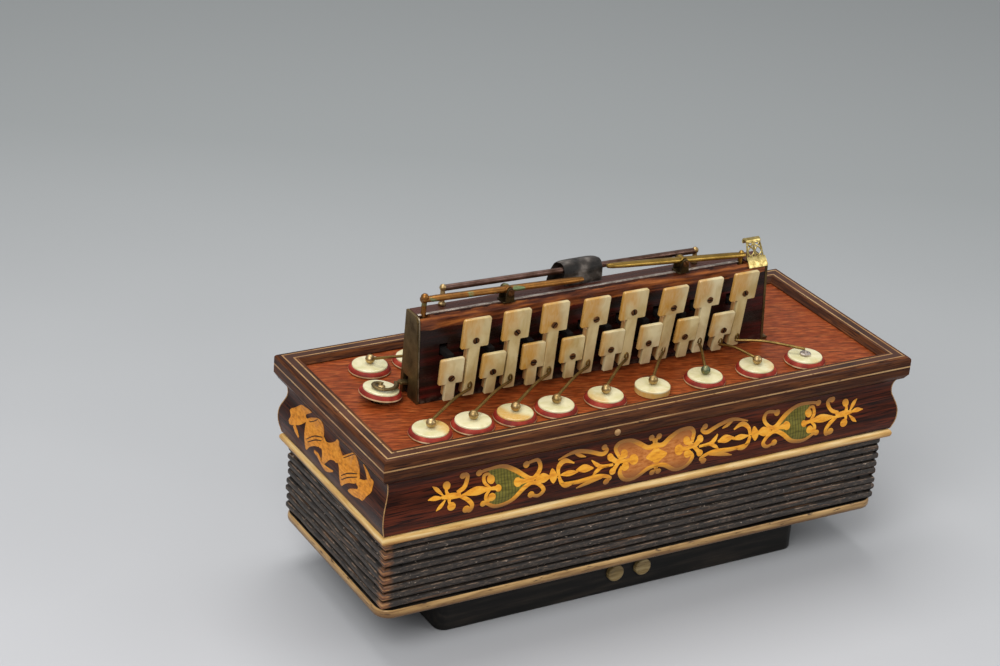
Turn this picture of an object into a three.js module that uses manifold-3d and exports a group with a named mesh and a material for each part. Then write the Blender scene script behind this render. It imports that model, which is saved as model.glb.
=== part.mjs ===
// Flutina: a French diatonic accordion of about 1850, standing on its plinth.
// Units are millimetres. +X runs along the keyboard to the treble end, +Y to the back, +Z up.
// The origin is the centre of the plinth's underside.
import * as THREE from "three";
import { mergeVertices } from "three/addons/utils/BufferGeometryUtils.js";
import Module from "manifold-3d";

const wasm = await Module();
wasm.setup();

// Driving dimensions of the case, measured at the inlaid line round the top moulding
const caseLength = 300;
const caseWidth = 116;
const plinthLength = 215;
const plinthDepth = 84;
const plinthHeight = 23.6;
const plinthCornerRadius = 6;
const plinthEdgeRound = 1.2;
const bottomBoardThickness = 4.7;
const bottomBoardInset = 2.6;
const bottomBoardCornerRadius = 8;
const bottomBoardEdgeRound = 1.1;
const bellowsHeight = 36.8;
const bellowsInset = 3.2;
const foldCount = 8;
const foldDepth = 8;
const bellowsCardThickness = 1.6;
const bellowsCornerCut = 3.5;
const beadHeight = 5.3;
const beadBulge = 2.7;
const beadInset = 3;
const wallHeight = 29.9;
const wallThickness = 12;
const rebateHeight = 4.9;
const rebateInset = 2;
const coveHeadReach = 1;
const coveInset = 3;
const coveHeight = 7.1;
const bellyReach = 0.4;
const bellyHeight = 9.2;
const ogeeFootInset = 1.3;
const mouldingHeight = 12.2;
const mouldingOverhang = 2.6;
const mouldingFootInset = 1.5;
const mouldingFootHeight = 2.4;
const mouldingRound = 1.8;
const rimWidth = 6.5;
const rimSlope = 2.5;
const recessDepth = 3.3;
const soundboardThickness = 4;

// Clearances
const seatGap = 0.3;
const pinClearance = 0.35;
const mitreGap = 0.22;
const cutOverrun = 1;
const weldTolerance = 1e-4;

// Keyboard
const keyCount = 8;
const boardLeftMargin = 42.4;
const boardRightMargin = 56.85;
const keyLeftMargin = 12.65;
const keyRightMargin = 21.25;
const boardHeight = 44.2;
const boardFrontY = -9;
const boardFrontLean = 3.6;
const boardTopDepth = 15.5;
const boardFootDepth = 17.5;
const boardChamfer = 2.5;
const endPlateThickness = 1.4;
const endPlateFootLength = 4;
const endPlateFootWidth = 6;
const axleRadius = 0.8;
const axleHeight = 26;
const lowerPinHeight = 8;
const axleDepth = 4.5;
const lugRadius = 2.1;
const lugWidth = 3.4;
const slotSideGap = 0.6;
const slotSwingGap = 1.1;
const leverBarWidth = 5;
const leverBarThickness = 3;
const leverBarGap = 1.2;
const keyLean = THREE.MathUtils.degToRad(7);
const facingThickness = 2;
const longHeadWidth = 14.8;
const longHeadHeight = 16.1;
const headStemGap = 1.5;
const shortHeadHeight = 13.8;
const headCornerRadius = 1.6;
const longHeadRise = 4.8;
const shortHeadDrop = 0.2;
const stemWidth = 6;
const stemFloorGap = 3.4;
const barTopOverhang = 3;
const shortBarLength = 16.5;

// Pallets, their wires and the holes that they close
const palletGap = 2.8;
const leatherBorder = 1.3;
const pearlThickness = 1;
const leatherThickness = 1.3;
const padThickness = 1.3;
const frontRowInset = 21;
const backRowInset = 25;
const ventMargin = 4.3;
const wireRadius = 0.75;
const wireBallRadius = 2.6;
const eyeletThickness = 1.1;
const wireRootHeight = 7.5;
const rightWireRootHeight = 5.5;
const rearWireHeight = 13.2;
const rearWireReach = 3.5;
const rearBendShares = [0.25, 0.2];
const tunnelWidth = 3.6;
const tunnelDrop = 1.9;
const tunnelRise = 3.3;
const wireBow = 1.4;

// Bass pallet at the left end, on its hooked arm
const bassEndMargin = 27.7;
const bassY = 3;
const bassPivotInset = 6.6;
const bassPivotHeight = 5.9;
const bassRestAngle = THREE.MathUtils.degToRad(7);
const bassLugWidth = 4;
const bassLugThickness = 1.5;
const bassLugReach = 10.6;
const bassTrunnionLength = 8;
const bassPocketLength = 11;
const bassPocketDrop = 3;
const bassPocketRise = 5;
const hookOuterRadius = 7.4;
const hookInnerRadius = 2.2;
const hookRadius = 0.9;
const hookTurns = 0.7;

// Thumb levers, rail and strap on top of the keyboard
const leverY = -2.2;
const leverWidth = 4.5;
const leverThickness = 2;
const leverPivotHeight = 6.3;
const leverPinRadius = 0.8;
const leverBossRadius = 2.1;
const leverTipTaper = 6;
const leverTipShare = 0.45;
const leftLeverMargin = 1.5;
const rightLeverMargin = 12.05;
const leftRestAngle = THREE.MathUtils.degToRad(2);
const rightRestAngle = THREE.MathUtils.degToRad(4.4);
const postWidth = 2.6;
const postInset = 1.6;
const postLength = 11;
const postHoleGap = 1.6;
const postHoleSideGap = 0.5;
const postHoleDepth = 10;
const knobRadius = 2.1;
const earThickness = 1.2;
const earGap = 0.4;
const earRadius = 2.3;
const bracketFootLength = 9;
const bracketFootThickness = 1;
const railY = 4.6;
const railLeftHeight = 8.9;
const railRightHeight = 6.7;
const railRadius = 1.6;
const railLeftMargin = 16.6;
const railRightMargin = 38.05;
const railBallRadius = 2.4;
const railPostRadius = 1.3;
const strapWidth = 22;
const strapThickness = 1.5;
const strapCrown = 12.6;
const strapBackReach = 11.5;
const strapFootDrop = 22;
const strapShoulderDrop = 7.3;
const strapHipInset = 3.8;
const strapHipRise = 4.4;
const strapSeamLength = 4.5;
const fretWidth = 11.6;
const fretHeight = 8.6;
const fretLean = 2.8;
const fretThickness = 1.5;
const fretBar = 1.3;
const fretRows = 2;
const fretColumns = 2;
const fretCurl = 1.6;
const fretEndGap = 0.9;

// Reed pan and reed plate under the soundboard
const panEndGap = 7;
const panHeight = 12;
const panSideGap = 0.6;
const chamberWall = 4.4;
const chamberLength = 26;
const bassChamberLength = 9.5;
const reedPlateThickness = 1.4;
const reedLength = 20;
const reedWidth = 3;
const reedSlot = 0.5;

// Push buttons in the plinth's front
const buttonRadius = 4.6;
const buttonProud = 2.4;
const buttonLength = 6.4;
const buttonDome = 0.8;
const buttonFaceRadius = 2.3;
const buttonTravelRoom = 3;
const buttonHeight = 11.7;
const buttonLeftX = -6.2;
const buttonRightX = 10.1;

// Facet counts
const pinSides = 8;
const wireSides = 6;
const palletSides = 20;
const ventSides = 10;

// Pull points of the mouldings' curves, as shares of the way from a curve's start to its end
const covePullShares = [[0.75, 0], [1, 0.5]];
const shoulderPullShares = [[0, 0.33], [1, 0.5]];
const hipPullShares = [[0, 0.5], [0.67, 0.75]];
const roundPullShares = [[0, 0.5], [0.5, 1]];

// Heights of the stack, from the floor up
const bottomBoardZ = plinthHeight + seatGap;
const bellowsZ = bottomBoardZ + bottomBoardThickness + seatGap;
const beadZ = bellowsZ + bellowsHeight + seatGap;
const wallZ = beadZ + beadHeight + seatGap;
const mouldingZ = wallZ + wallHeight + seatGap;
const rimZ = mouldingZ + mouldingHeight;
const soundboardZ = rimZ - recessDepth;
const boardZ = soundboardZ + seatGap;
const boardTopZ = boardZ + boardHeight;

// Places that the keyboard's pieces share: the short keys stand half a pitch before the long ones
const axleY = boardFrontY + axleDepth;
const axleZ = boardZ + axleHeight;
const lowerPinZ = boardZ + lowerPinHeight;
const boardLeftX = boardLeftMargin - caseLength / 2;
const boardRightX = caseLength / 2 - boardRightMargin;
const boardLength = boardRightX - boardLeftX;
const keyPitch = (boardLength - keyLeftMargin - keyRightMargin) / (keyCount - 0.5);
const shortKeyX = Array.from({ length: keyCount }, (_, i) => boardLeftX + keyLeftMargin + keyPitch * i);
const longKeyX = shortKeyX.map((x) => x + keyPitch / 2);
const shortHeadWidth = keyPitch - stemWidth - 2 * headStemGap;
const chamferFootY = boardFrontY + boardFrontLean;
const chamferHeadY = chamferFootY + boardChamfer;
const boardBackTopY = boardFrontY + boardTopDepth;
const boardBackFootY = boardFrontY + boardFootDepth;
const barBackY = boardFrontY - leverBarGap;
const facingBackY = barBackY - leverBarThickness;
const facingFrontY = facingBackY - facingThickness;
const stemFootZ = soundboardZ + stemFloorGap;
const leanSlope = Math.tan(keyLean);

// The front row of pallets spreads towards both ends: places as shares of the case's length
const frontRowShares = [-0.398, -0.32, -0.2415, -0.163, -0.0745, 0.0165, 0.119, 0.2305, 0.332];
const backRowShares = [-0.3783, -0.297, -0.2157, -0.1343, -0.053, 0.0283, 0.1097];
const frontRowX = frontRowShares.map((share) => share * caseLength);
const frontRowY = -caseWidth / 2 + frontRowInset;
const backRowX = backRowShares.map((share) => share * caseLength);
const backRowY = caseWidth / 2 - backRowInset;
const closestPitch = frontRowX[1] - frontRowX[0];
const palletRadius = (closestPitch - palletGap) / 2;
const pearlRadius = palletRadius - leatherBorder;
const ventRadius = palletRadius - ventMargin;
const chamberWidth = closestPitch - chamberWall;
const palletHeight = padThickness + leatherThickness + pearlThickness;
const palletZ = soundboardZ + seatGap;
const palletTopZ = palletZ + palletHeight;
const ballZ = palletTopZ + wireBallRadius;
const bassX = bassEndMargin - caseLength / 2;
const bassPivotX = boardLeftX + bassPivotInset;

// Reaches of a thumb lever's inner and outer ends from its pin, as shares of the board's length
const leftReachShares = [0.2166, 0.2346];
const rightReachShares = [0.2256, 0.1918];
const strapCentreShare = 0.471;
const [leftInnerReach, leftOuterReach] = leftReachShares.map((share) => share * boardLength);
const [rightInnerReach, rightOuterReach] = rightReachShares.map((share) => share * boardLength);
const leftPivotX = boardLeftX + leftLeverMargin + leftOuterReach;
const rightPivotX = boardRightX - rightLeverMargin - rightOuterReach;
const railLeftX = boardLeftX + railLeftMargin;
const railRightX = boardRightX - railRightMargin;
const strapCentreX = boardLeftX + strapCentreShare * boardLength;

// Materials
function finish(color, roughness, metalness) {
  return new THREE.MeshStandardMaterial({ color, roughness, metalness, flatShading: true });
}
const rosewood = finish(0x4a2a1e, 0.35, 0);
const soundboardWood = finish(0x7a3b1e, 0.4, 0);
const ebonised = finish(0x26221f, 0.45, 0);
const gilt = finish(0xd9a650, 0.4, 0.6);
const bellowsCard = finish(0x35322f, 0.8, 0);
const agedBrass = finish(0xa98a3a, 0.35, 1);
const pearl = finish(0xdad0a0, 0.2, 0);
const keyboardWood = finish(0x3a1114, 0.3, 0);
const strapLeather = finish(0x4a4645, 0.7, 0);
const palletLeather = finish(0xa83030, 0.6, 0);
const pine = finish(0xb88a55, 0.6, 0);
const steel = finish(0x8a8880, 0.3, 1);

const flutina = new THREE.Group();

function addPart(name, geometry, material, place = [0, 0, 0], parent = flutina) {
  const mesh = new THREE.Mesh(geometry, material);
  mesh.name = name;
  mesh.position.set(...place);
  parent.add(mesh);
  return mesh;
}

// Welded copy of a geometry: shared corners merged and collapsed triangles left out
function weld(geometry) {
  const bare = geometry.clone();
  bare.deleteAttribute("normal");
  bare.deleteAttribute("uv");
  const merged = mergeVertices(bare, weldTolerance);
  const index = merged.index.array;
  const kept = [];
  for (let i = 0; i < index.length; i += 3) {
    const [a, b, c] = [index[i], index[i + 1], index[i + 2]];
    if (a !== b && b !== c && c !== a) kept.push(a, b, c);
  }
  merged.setIndex(kept);
  return merged;
}

function toSolid(geometry) {
  const merged = weld(geometry);
  const vertProperties = new Float32Array(merged.attributes.position.array);
  const triVerts = new Uint32Array(merged.index.array);
  return new wasm.Manifold(new wasm.Mesh({ numProp: 3, vertProperties, triVerts }));
}

function toGeometry(solid) {
  const mesh = solid.getMesh();
  const geometry = new THREE.BufferGeometry();
  geometry.setAttribute("position", new THREE.BufferAttribute(Float32Array.from(mesh.vertProperties), 3));
  geometry.setIndex(Array.from(mesh.triVerts));
  geometry.computeVertexNormals();
  return geometry;
}

function joined(geometries) {
  return toGeometry(geometries.map(toSolid).reduce((whole, piece) => whole.add(piece)));
}

function cutBy(geometry, tools) {
  return toGeometry(tools.map(toSolid).reduce((whole, tool) => whole.subtract(tool), toSolid(geometry)));
}

// A block given by its size and the middle of its volume
function block(size, middle) {
  return new THREE.BoxGeometry(...size).translate(...middle);
}

// A round bar along one axis, given by its middle
function bar(axis, radius, length, middle, sides = pinSides) {
  const geometry = new THREE.CylinderGeometry(radius, radius, length, sides);
  if (axis === "x") geometry.rotateZ(Math.PI / 2);
  if (axis === "z") geometry.rotateX(Math.PI / 2);
  return geometry.translate(...middle);
}

function ball(radius, middle, sides = pinSides) {
  return new THREE.SphereGeometry(radius, sides, Math.round(sides / 2) + 1).translate(...middle);
}

// A wire of even section along a smooth curve through the given points
function wire(points, radius, steps) {
  const angles = Array.from({ length: wireSides }, (_, i) => 2 * Math.PI * i / wireSides);
  const rim = angles.map((angle) => new THREE.Vector2(radius * Math.cos(angle), radius * Math.sin(angle)));
  const extrudePath = new THREE.CatmullRomCurve3(points.map((point) => new THREE.Vector3(...point)));
  return new THREE.ExtrudeGeometry(new THREE.Shape(rim), { extrudePath, steps });
}

// An outline in the XZ plane, given depth along Y, from backY forwards
function plateXZ(shape, depth, backY, curveSegments = 4) {
  const geometry = new THREE.ExtrudeGeometry(shape, { depth, bevelEnabled: false, curveSegments });
  return geometry.rotateX(Math.PI / 2).translate(0, backY, 0);
}

// An outline in the YZ plane, given length along X, from leftX to the right
function plateYZ(shape, length, leftX, curveSegments = 6) {
  const geometry = new THREE.ExtrudeGeometry(shape, { depth: length, bevelEnabled: false, curveSegments });
  return geometry.rotateX(Math.PI / 2).rotateZ(Math.PI / 2).translate(leftX, 0, 0);
}

function roundedRectangle(length, width, radius) {
  const [x, y] = [length / 2, width / 2];
  const shape = new THREE.Shape();
  shape.moveTo(x - radius, -y);
  shape.absarc(x - radius, -y + radius, radius, -Math.PI / 2, 0);
  shape.absarc(x - radius, y - radius, radius, 0, Math.PI / 2);
  shape.absarc(-x + radius, y - radius, radius, Math.PI / 2, Math.PI);
  shape.absarc(-x + radius, -y + radius, radius, Math.PI, 1.5 * Math.PI);
  return shape;
}

// A board with rounded corners and softened top and bottom edges, its underside at z = 0
function roundedBoard(length, width, thickness, cornerRadius, edgeRound) {
  const shape = roundedRectangle(length - 2 * edgeRound, width - 2 * edgeRound, cornerRadius - edgeRound);
  const bevel = { bevelThickness: edgeRound, bevelSize: edgeRound, bevelSegments: 2 };
  const depth = thickness - 2 * edgeRound;
  return new THREE.ExtrudeGeometry(shape, { depth, ...bevel, curveSegments: 4 }).translate(0, 0, edgeRound);
}

// Turns a closed surface inside out if its enclosed volume comes out negative
function facingOut(positions, triangles) {
  let volume = 0;
  for (let i = 0; i < triangles.length; i += 3) {
    const [a, b, c] = [0, 1, 2].map((k) => new THREE.Vector3().fromArray(positions, triangles[i + k] * 3));
    volume += a.dot(b.cross(c));
  }
  if (volume < 0) triangles.reverse();
  const geometry = new THREE.BufferGeometry();
  geometry.setAttribute("position", new THREE.Float32BufferAttribute(positions, 3));
  geometry.setIndex(triangles);
  geometry.computeVertexNormals();
  return geometry;
}

// A frame whose section is swept round a rectangle with mitred corners.
// Each point of the section is an offset outwards from the rectangle and a height.
function mouldedFrame(section, halfLength, halfWidth, cornerCut = 0) {
  const positions = [];
  const triangles = [];
  const corners = [[1, -1], [1, 1], [-1, 1], [-1, -1]];
  for (const [offset, z] of section) {
    corners.forEach(([sx, sy]) => {
      const [x, y] = [halfLength + offset, halfWidth + offset];
      const onSide = [sx * (x - cornerCut), sy * y, z];
      const onEnd = [sx * x, sy * (y - cornerCut), z];
      const pair = sx * sy < 0 ? [onSide, onEnd] : [onEnd, onSide];
      (cornerCut > 0 ? pair : [onSide]).forEach((point) => positions.push(...point));
    });
  }
  const around = positions.length / 3 / section.length;
  for (let i = 0; i < section.length; i += 1) {
    const next = (i + 1) % section.length;
    for (let j = 0; j < around; j += 1) {
      const [a, b] = [i * around + j, i * around + (j + 1) % around];
      const [c, d] = [next * around + j, next * around + (j + 1) % around];
      triangles.push(a, b, d, a, d, c);
    }
  }
  return facingOut(positions, triangles);
}

// One side of the case: the section swept along X and mitred at both ends
function mitredSide(section, halfAlong, halfAcross) {
  const contour = section.map(([offset, z]) => new THREE.Vector2(offset, z));
  if (THREE.ShapeUtils.isClockWise(contour)) contour.reverse();
  const positions = [];
  for (const side of [-1, 1]) {
    contour.forEach(({ x: offset, y: z }) => {
      positions.push(side * (halfAlong + offset - mitreGap), -(halfAcross + offset), z);
    });
  }
  const count = contour.length;
  const triangles = [];
  for (let i = 0; i < count; i += 1) {
    const next = (i + 1) % count;
    triangles.push(i, next, count + next, i, count + next, count + i);
  }
  for (const [a, b, c] of THREE.ShapeUtils.triangulateShape(contour, [])) {
    triangles.push(a, c, b, count + a, count + b, count + c);
  }
  return facingOut(positions, triangles);
}

// Points of a cubic curve between two [offset, height] places, pulled at two shares of the way
function curve(start, end, pullShares, steps) {
  const pulls = pullShares.map((pair) => pair.map((share, k) => start[k] + share * (end[k] - start[k])));
  const corners = [start, ...pulls, end].map((point) => new THREE.Vector2(...point));
  return new THREE.CubicBezierCurve(...corners).getPoints(steps).map((point) => [point.x, point.y]);
}

// Plinth with two button pockets in its front
function plinth() {
  const body = roundedBoard(plinthLength, plinthDepth, plinthHeight, plinthCornerRadius, plinthEdgeRound);
  const pocketDepth = buttonLength - buttonProud + buttonTravelRoom;
  const pocketMiddle = -plinthDepth / 2 + (pocketDepth - cutOverrun) / 2;
  const pockets = [buttonLeftX, buttonRightX].map((x) => {
    const place = [x, pocketMiddle, buttonHeight];
    return bar("y", buttonRadius + seatGap, pocketDepth + cutOverrun, place, palletSides);
  });
  addPart("plinth", cutBy(body, pockets), ebonised);
}

// A push button, turned with a shallow dome on its face
function baseButton(name, x) {
  const rim = [buttonRadius, buttonLength - buttonDome];
  const outline = [[0, 0], [buttonRadius, 0], rim, [buttonFaceRadius, buttonLength], [0, buttonLength]];
  const turned = new THREE.LatheGeometry(outline.map((point) => new THREE.Vector2(...point)), palletSides);
  const backY = -plinthDepth / 2 - buttonProud + buttonLength;
  addPart(name, weld(turned.rotateX(Math.PI)), gilt, [x, backY, buttonHeight]);
}

function bottomBoard() {
  const [length, width] = [caseLength, caseWidth].map((side) => side - 2 * bottomBoardInset);
  const [corner, round] = [bottomBoardCornerRadius, bottomBoardEdgeRound];
  const board = roundedBoard(length, width, bottomBoardThickness, corner, round);
  addPart("bottom_board", weld(board), gilt, [0, 0, bottomBoardZ]);
}

// Folded bellows: an outer zigzag and an inner one, a card's thickness further in
function bellows() {
  const pitch = bellowsHeight / foldCount;
  const outer = [];
  for (let i = 0; i <= 2 * foldCount; i += 1) {
    const inset = i % 2 === 0 ? bellowsInset + foldDepth : bellowsInset;
    outer.push([-inset, i * pitch / 2]);
  }
  const inner = outer.map(([offset, z]) => [offset - bellowsCardThickness, z]).reverse();
  const folded = mouldedFrame([...outer, ...inner], caseLength / 2, caseWidth / 2, bellowsCornerCut);
  addPart("bellows", folded, bellowsCard, [0, 0, bellowsZ]);
}

// Half-round bead that frames the foot of the case
function beadTrim() {
  const centreZ = beadHeight / 2;
  const round = [];
  const steps = 6;
  for (let i = 0; i <= steps; i += 1) {
    const angle = -Math.PI / 2 + Math.PI * i / steps;
    round.push([-beadInset + beadBulge * Math.cos(angle), centreZ + centreZ * Math.sin(angle)]);
  }
  const section = [[-wallThickness, 0], ...round, [-wallThickness, beadHeight]];
  addPart("bead_trim", mouldedFrame(section, caseLength / 2, caseWidth / 2), gilt, [0, 0, beadZ]);
}

// Section of a case side: cove under the moulding, then an ogee swelling down to the bead
function wallSection() {
  const coveHead = [coveHeadReach, wallHeight];
  const coveFoot = [-coveInset, wallHeight - coveHeight];
  const belly = [bellyReach, bellyHeight];
  const foot = [-ogeeFootInset, 0];
  const cove = curve(coveHead, coveFoot, covePullShares, 5);
  const shoulder = curve(coveFoot, belly, shoulderPullShares, 6);
  const hip = curve(belly, foot, hipPullShares, 4);
  const rebateTop = wallHeight + rebateHeight;
  const inside = [[-wallThickness, 0], [-wallThickness, rebateTop], [-rebateInset, rebateTop]];
  return [...inside, [-rebateInset, wallHeight], ...cove, ...shoulder.slice(1), ...hip.slice(1)];
}

function caseWalls() {
  const section = wallSection();
  const sides = [
    ["wall_front", caseLength, caseWidth, 0],
    ["wall_right", caseWidth, caseLength, Math.PI / 2],
    ["wall_back", caseLength, caseWidth, Math.PI],
    ["wall_left", caseWidth, caseLength, -Math.PI / 2],
  ];
  for (const [name, along, across, turn] of sides) {
    const side = addPart(name, mitredSide(section, along / 2, across / 2), rosewood, [0, 0, wallZ]);
    side.rotation.z = turn;
  }
}

// Top moulding: rounded outer edge, inlaid flat rim and a slope down to the soundboard
function topMoulding() {
  const top = mouldingHeight;
  const ledge = top - recessDepth + seatGap;
  const roundFoot = [mouldingOverhang, top - mouldingRound];
  const roundHead = [mouldingOverhang - mouldingRound, top];
  const corner = curve(roundFoot, roundHead, roundPullShares, 4);
  const slopeFoot = -rimWidth - rimSlope;
  const inner = [[-rimWidth, top], [slopeFoot, ledge + seatGap], [slopeFoot, ledge]];
  const shoulder = seatGap - rebateInset;
  const underside = [[shoulder, ledge], [shoulder, 0], [mouldingOverhang - mouldingFootInset, 0]];
  const section = [...underside, [mouldingOverhang, mouldingFootHeight], ...corner, ...inner];
  const frame = mouldedFrame(section, caseLength / 2, caseWidth / 2);
  addPart("top_moulding", frame, rosewood, [0, 0, mouldingZ]);
}

// Every pallet's place over its vent
function ventPlaces() {
  const front = frontRowX.map((x) => [x, frontRowY]);
  const back = backRowX.map((x) => [x, backRowY]);
  return [...front, ...back, [bassX, bassY]];
}

function soundboard() {
  const [length, width] = [caseLength - 2 * rebateInset, caseWidth - 2 * rebateInset];
  const middleZ = soundboardZ - soundboardThickness / 2;
  const panel = block([length, width, soundboardThickness], [0, 0, middleZ]);
  const depth = soundboardThickness + 2 * cutOverrun;
  const vents = ventPlaces().map(([x, y]) => bar("z", ventRadius, depth, [x, y, middleZ], ventSides));
  addPart("soundboard", cutBy(panel, vents), soundboardWood);
}

// Reed pan: a block of sound chambers, one under each vent
function reedPan() {
  const width = caseWidth - 2 * (wallThickness + panSideGap);
  const length = caseLength - 2 * (wallThickness + panEndGap);
  const topZ = soundboardZ - soundboardThickness - seatGap;
  const middleZ = topZ - panHeight / 2;
  const body = block([length, width, panHeight], [0, 0, middleZ]);
  const depth = panHeight + 2 * cutOverrun;
  const chambers = ventPlaces().map(([x, y]) => {
    const isBass = x === bassX && y === bassY;
    const size = isBass ? [bassChamberLength, chamberWidth, depth] : [chamberWidth, chamberLength, depth];
    const inward = isBass ? 0 : Math.sign(y) * (ventRadius - chamberLength / 2);
    return block(size, [x, y + inward, middleZ]);
  });
  addPart("reed_pan", cutBy(body, chambers), pine);
  reedPlate(length, width, topZ - panHeight - seatGap);
}

// Reed plate: a pair of tongues, one for each way of the bellows, freed by U-shaped slots
function reedPlate(length, width, topZ) {
  const plate = block([length, width, reedPlateThickness], [0, 0, topZ - reedPlateThickness / 2]);
  const slots = [];
  for (const [x, y] of ventPlaces().slice(0, -1)) {
    const chamberY = y + Math.sign(y) * (ventRadius - chamberLength / 2);
    for (const side of [-1, 1]) {
      slots.push(reedSlotTool(x + side * reedWidth, chamberY, topZ));
    }
  }
  addPart("reed_plate", cutBy(plate, slots), agedBrass);
}

function reedSlotTool(x, y, topZ) {
  const [inside, outside] = [reedWidth / 2, reedWidth / 2 + reedSlot];
  const [root, tip] = [-reedLength / 2, reedLength / 2];
  const corners = [
    [-outside, root], [-inside, root], [-inside, tip], [inside, tip],
    [inside, root], [outside, root], [outside, tip + reedSlot], [-outside, tip + reedSlot],
  ];
  const shape = new THREE.Shape(corners.map((point) => new THREE.Vector2(...point)));
  const depth = reedPlateThickness + 2 * cutOverrun;
  const tool = new THREE.ExtrudeGeometry(shape, { depth, bevelEnabled: false });
  return tool.translate(x, y, topZ + cutOverrun - depth);
}

// Outline of the keyboard board seen from its end: both faces slope, and the front's top edge is chamfered
function boardOutline() {
  const shape = new THREE.Shape();
  shape.moveTo(boardFrontY, boardZ);
  shape.lineTo(chamferFootY, boardTopZ - boardChamfer);
  shape.lineTo(chamferHeadY, boardTopZ);
  shape.lineTo(boardBackTopY, boardTopZ);
  shape.lineTo(boardBackFootY, boardZ);
  return shape;
}

function keyboardBoard() {
  const body = plateYZ(boardOutline(), boardLength, boardLeftX);
  const boreRadius = axleRadius + pinClearance;
  const axleMiddle = [boardLeftX + boardLength / 2, axleY, axleZ];
  const axleBore = bar("x", boreRadius, boardLength + 2 * cutOverrun, axleMiddle);
  const lastShortX = shortKeyX[keyCount - 1];
  const pinBore = bar("x", boreRadius, keyPitch, [lastShortX, axleY, lowerPinZ]);
  const slots = [...longKeyX, ...shortKeyX.slice(0, -1)].map((x) => lugSlot(x, axleZ));
  const tunnels = shortKeyX.slice(0, -1).map((x) => wireTunnel(x));
  const tools = [axleBore, pinBore, ...slots, lugSlot(lastShortX, lowerPinZ), ...tunnels, ...boardPockets()];
  addPart("keyboard_board", cutBy(body, tools), keyboardWood);
}

// Slot in the board's face for the lug of one key
function lugSlot(x, z) {
  const depth = axleDepth + lugRadius + slotSideGap;
  const size = [lugWidth + 2 * slotSideGap, depth + cutOverrun, 2 * (lugRadius + slotSwingGap)];
  return block(size, [x, boardFrontY + (depth - cutOverrun) / 2, z]);
}

// Passage through the board for the wire that runs to the back row
function wireTunnel(x) {
  const wireZ = axleZ - rearWireHeight;
  const height = tunnelDrop + tunnelRise;
  const depth = boardFootDepth + 2 * cutOverrun;
  const middle = [x, boardFrontY + boardFootDepth / 2, wireZ + (tunnelRise - tunnelDrop) / 2];
  return block([tunnelWidth, depth, height], middle);
}

// Holes in the top for the thumb levers' posts, and the pocket and bores of the bass arm
function boardPockets() {
  const hole = postWidth + 2 * postHoleGap;
  const holeMiddleZ = boardTopZ - (postHoleDepth - cutOverrun) / 2;
  const postX = [leftPivotX - leftOuterReach + postInset, rightPivotX + rightOuterReach - postInset];
  const holeSize = [hole, postWidth + 2 * postHoleSideGap, postHoleDepth + cutOverrun];
  const postHoles = postX.map((x) => block(holeSize, [x, leverY, holeMiddleZ]));
  const pivotZ = soundboardZ + bassPivotHeight;
  const pocketHeight = bassPocketDrop + bassPocketRise;
  const pocketWidth = bassLugWidth + 2 * slotSideGap;
  const pocketMiddleZ = pivotZ + (bassPocketRise - bassPocketDrop) / 2;
  const pocketMiddleX = boardLeftX + (bassPocketLength - cutOverrun) / 2;
  const pocketSize = [bassPocketLength + cutOverrun, pocketWidth, pocketHeight];
  const pocket = block(pocketSize, [pocketMiddleX, bassY, pocketMiddleZ]);
  const boreLength = bassTrunnionLength + 2 * seatGap;
  const bore = bar("y", axleRadius + pinClearance, boreLength, [bassPivotX, bassY, pivotZ]);
  return [...postHoles, pocket, bore];
}

// Brass end plates on the board, the left one notched for the bass arm, the right one with a foot
function endPlates() {
  const leftX = boardLeftX - seatGap - endPlateThickness;
  const pivotZ = soundboardZ + bassPivotHeight;
  const notchTopZ = pivotZ + bassPocketRise;
  const notchHeight = notchTopZ - boardZ + cutOverrun;
  const notchSize = [endPlateThickness + 2 * cutOverrun, bassLugWidth + 2 * slotSideGap, notchHeight];
  const notch = block(notchSize, [leftX + endPlateThickness / 2, bassY, notchTopZ - notchHeight / 2]);
  const plate = plateYZ(boardOutline(), endPlateThickness, leftX);
  addPart("end_plate_left", cutBy(plate, [notch]), agedBrass);
  const rightX = boardRightX + seatGap;
  const footSize = [endPlateFootLength, endPlateFootWidth, endPlateThickness];
  const footCorner = [rightX, boardFrontY, boardZ];
  const foot = block(footSize, footCorner.map((value, k) => value + footSize[k] / 2));
  addPart("end_plate_right", joined([plateYZ(boardOutline(), endPlateThickness, rightX), foot]), agedBrass);
}

// The axle that every key but one turns on, and the pin of the lowest-pivoted key
function keyPins() {
  const axle = bar("x", axleRadius, boardLength, [0, 0, 0]);
  addPart("key_axle", weld(axle), steel, [boardLeftX + boardLength / 2, axleY, axleZ]);
  const pin = bar("x", axleRadius, keyPitch - 2 * seatGap, [0, 0, 0]);
  addPart("lower_key_pin", weld(pin), steel, [shortKeyX[keyCount - 1], axleY, lowerPinZ]);
}

// Outline of a key's pearl facing: a head with rounded top corners and a narrow stem below it
function facingOutline({ width, top, height }, stemFoot) {
  const [half, stem, headFoot] = [width / 2, stemWidth / 2, top - height];
  const [arcX, arcZ] = [half - headCornerRadius, top - headCornerRadius];
  const shape = new THREE.Shape();
  shape.moveTo(-stem, stemFoot);
  shape.lineTo(stem, stemFoot);
  shape.lineTo(stem, headFoot);
  shape.lineTo(half, headFoot);
  shape.absarc(arcX, arcZ, headCornerRadius, 0, Math.PI / 2);
  shape.absarc(-arcX, arcZ, headCornerRadius, Math.PI / 2, Math.PI);
  shape.lineTo(-half, headFoot);
  shape.lineTo(-stem, headFoot);
  return shape;
}

// Tips a key's facing and bar about the foot of their back, so that the head stands off the board
function leaning(geometry, stemFoot) {
  const backY = barBackY - axleY;
  return geometry.translate(0, -backY, -stemFoot).rotateX(keyLean).translate(0, backY, stemFoot);
}

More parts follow.
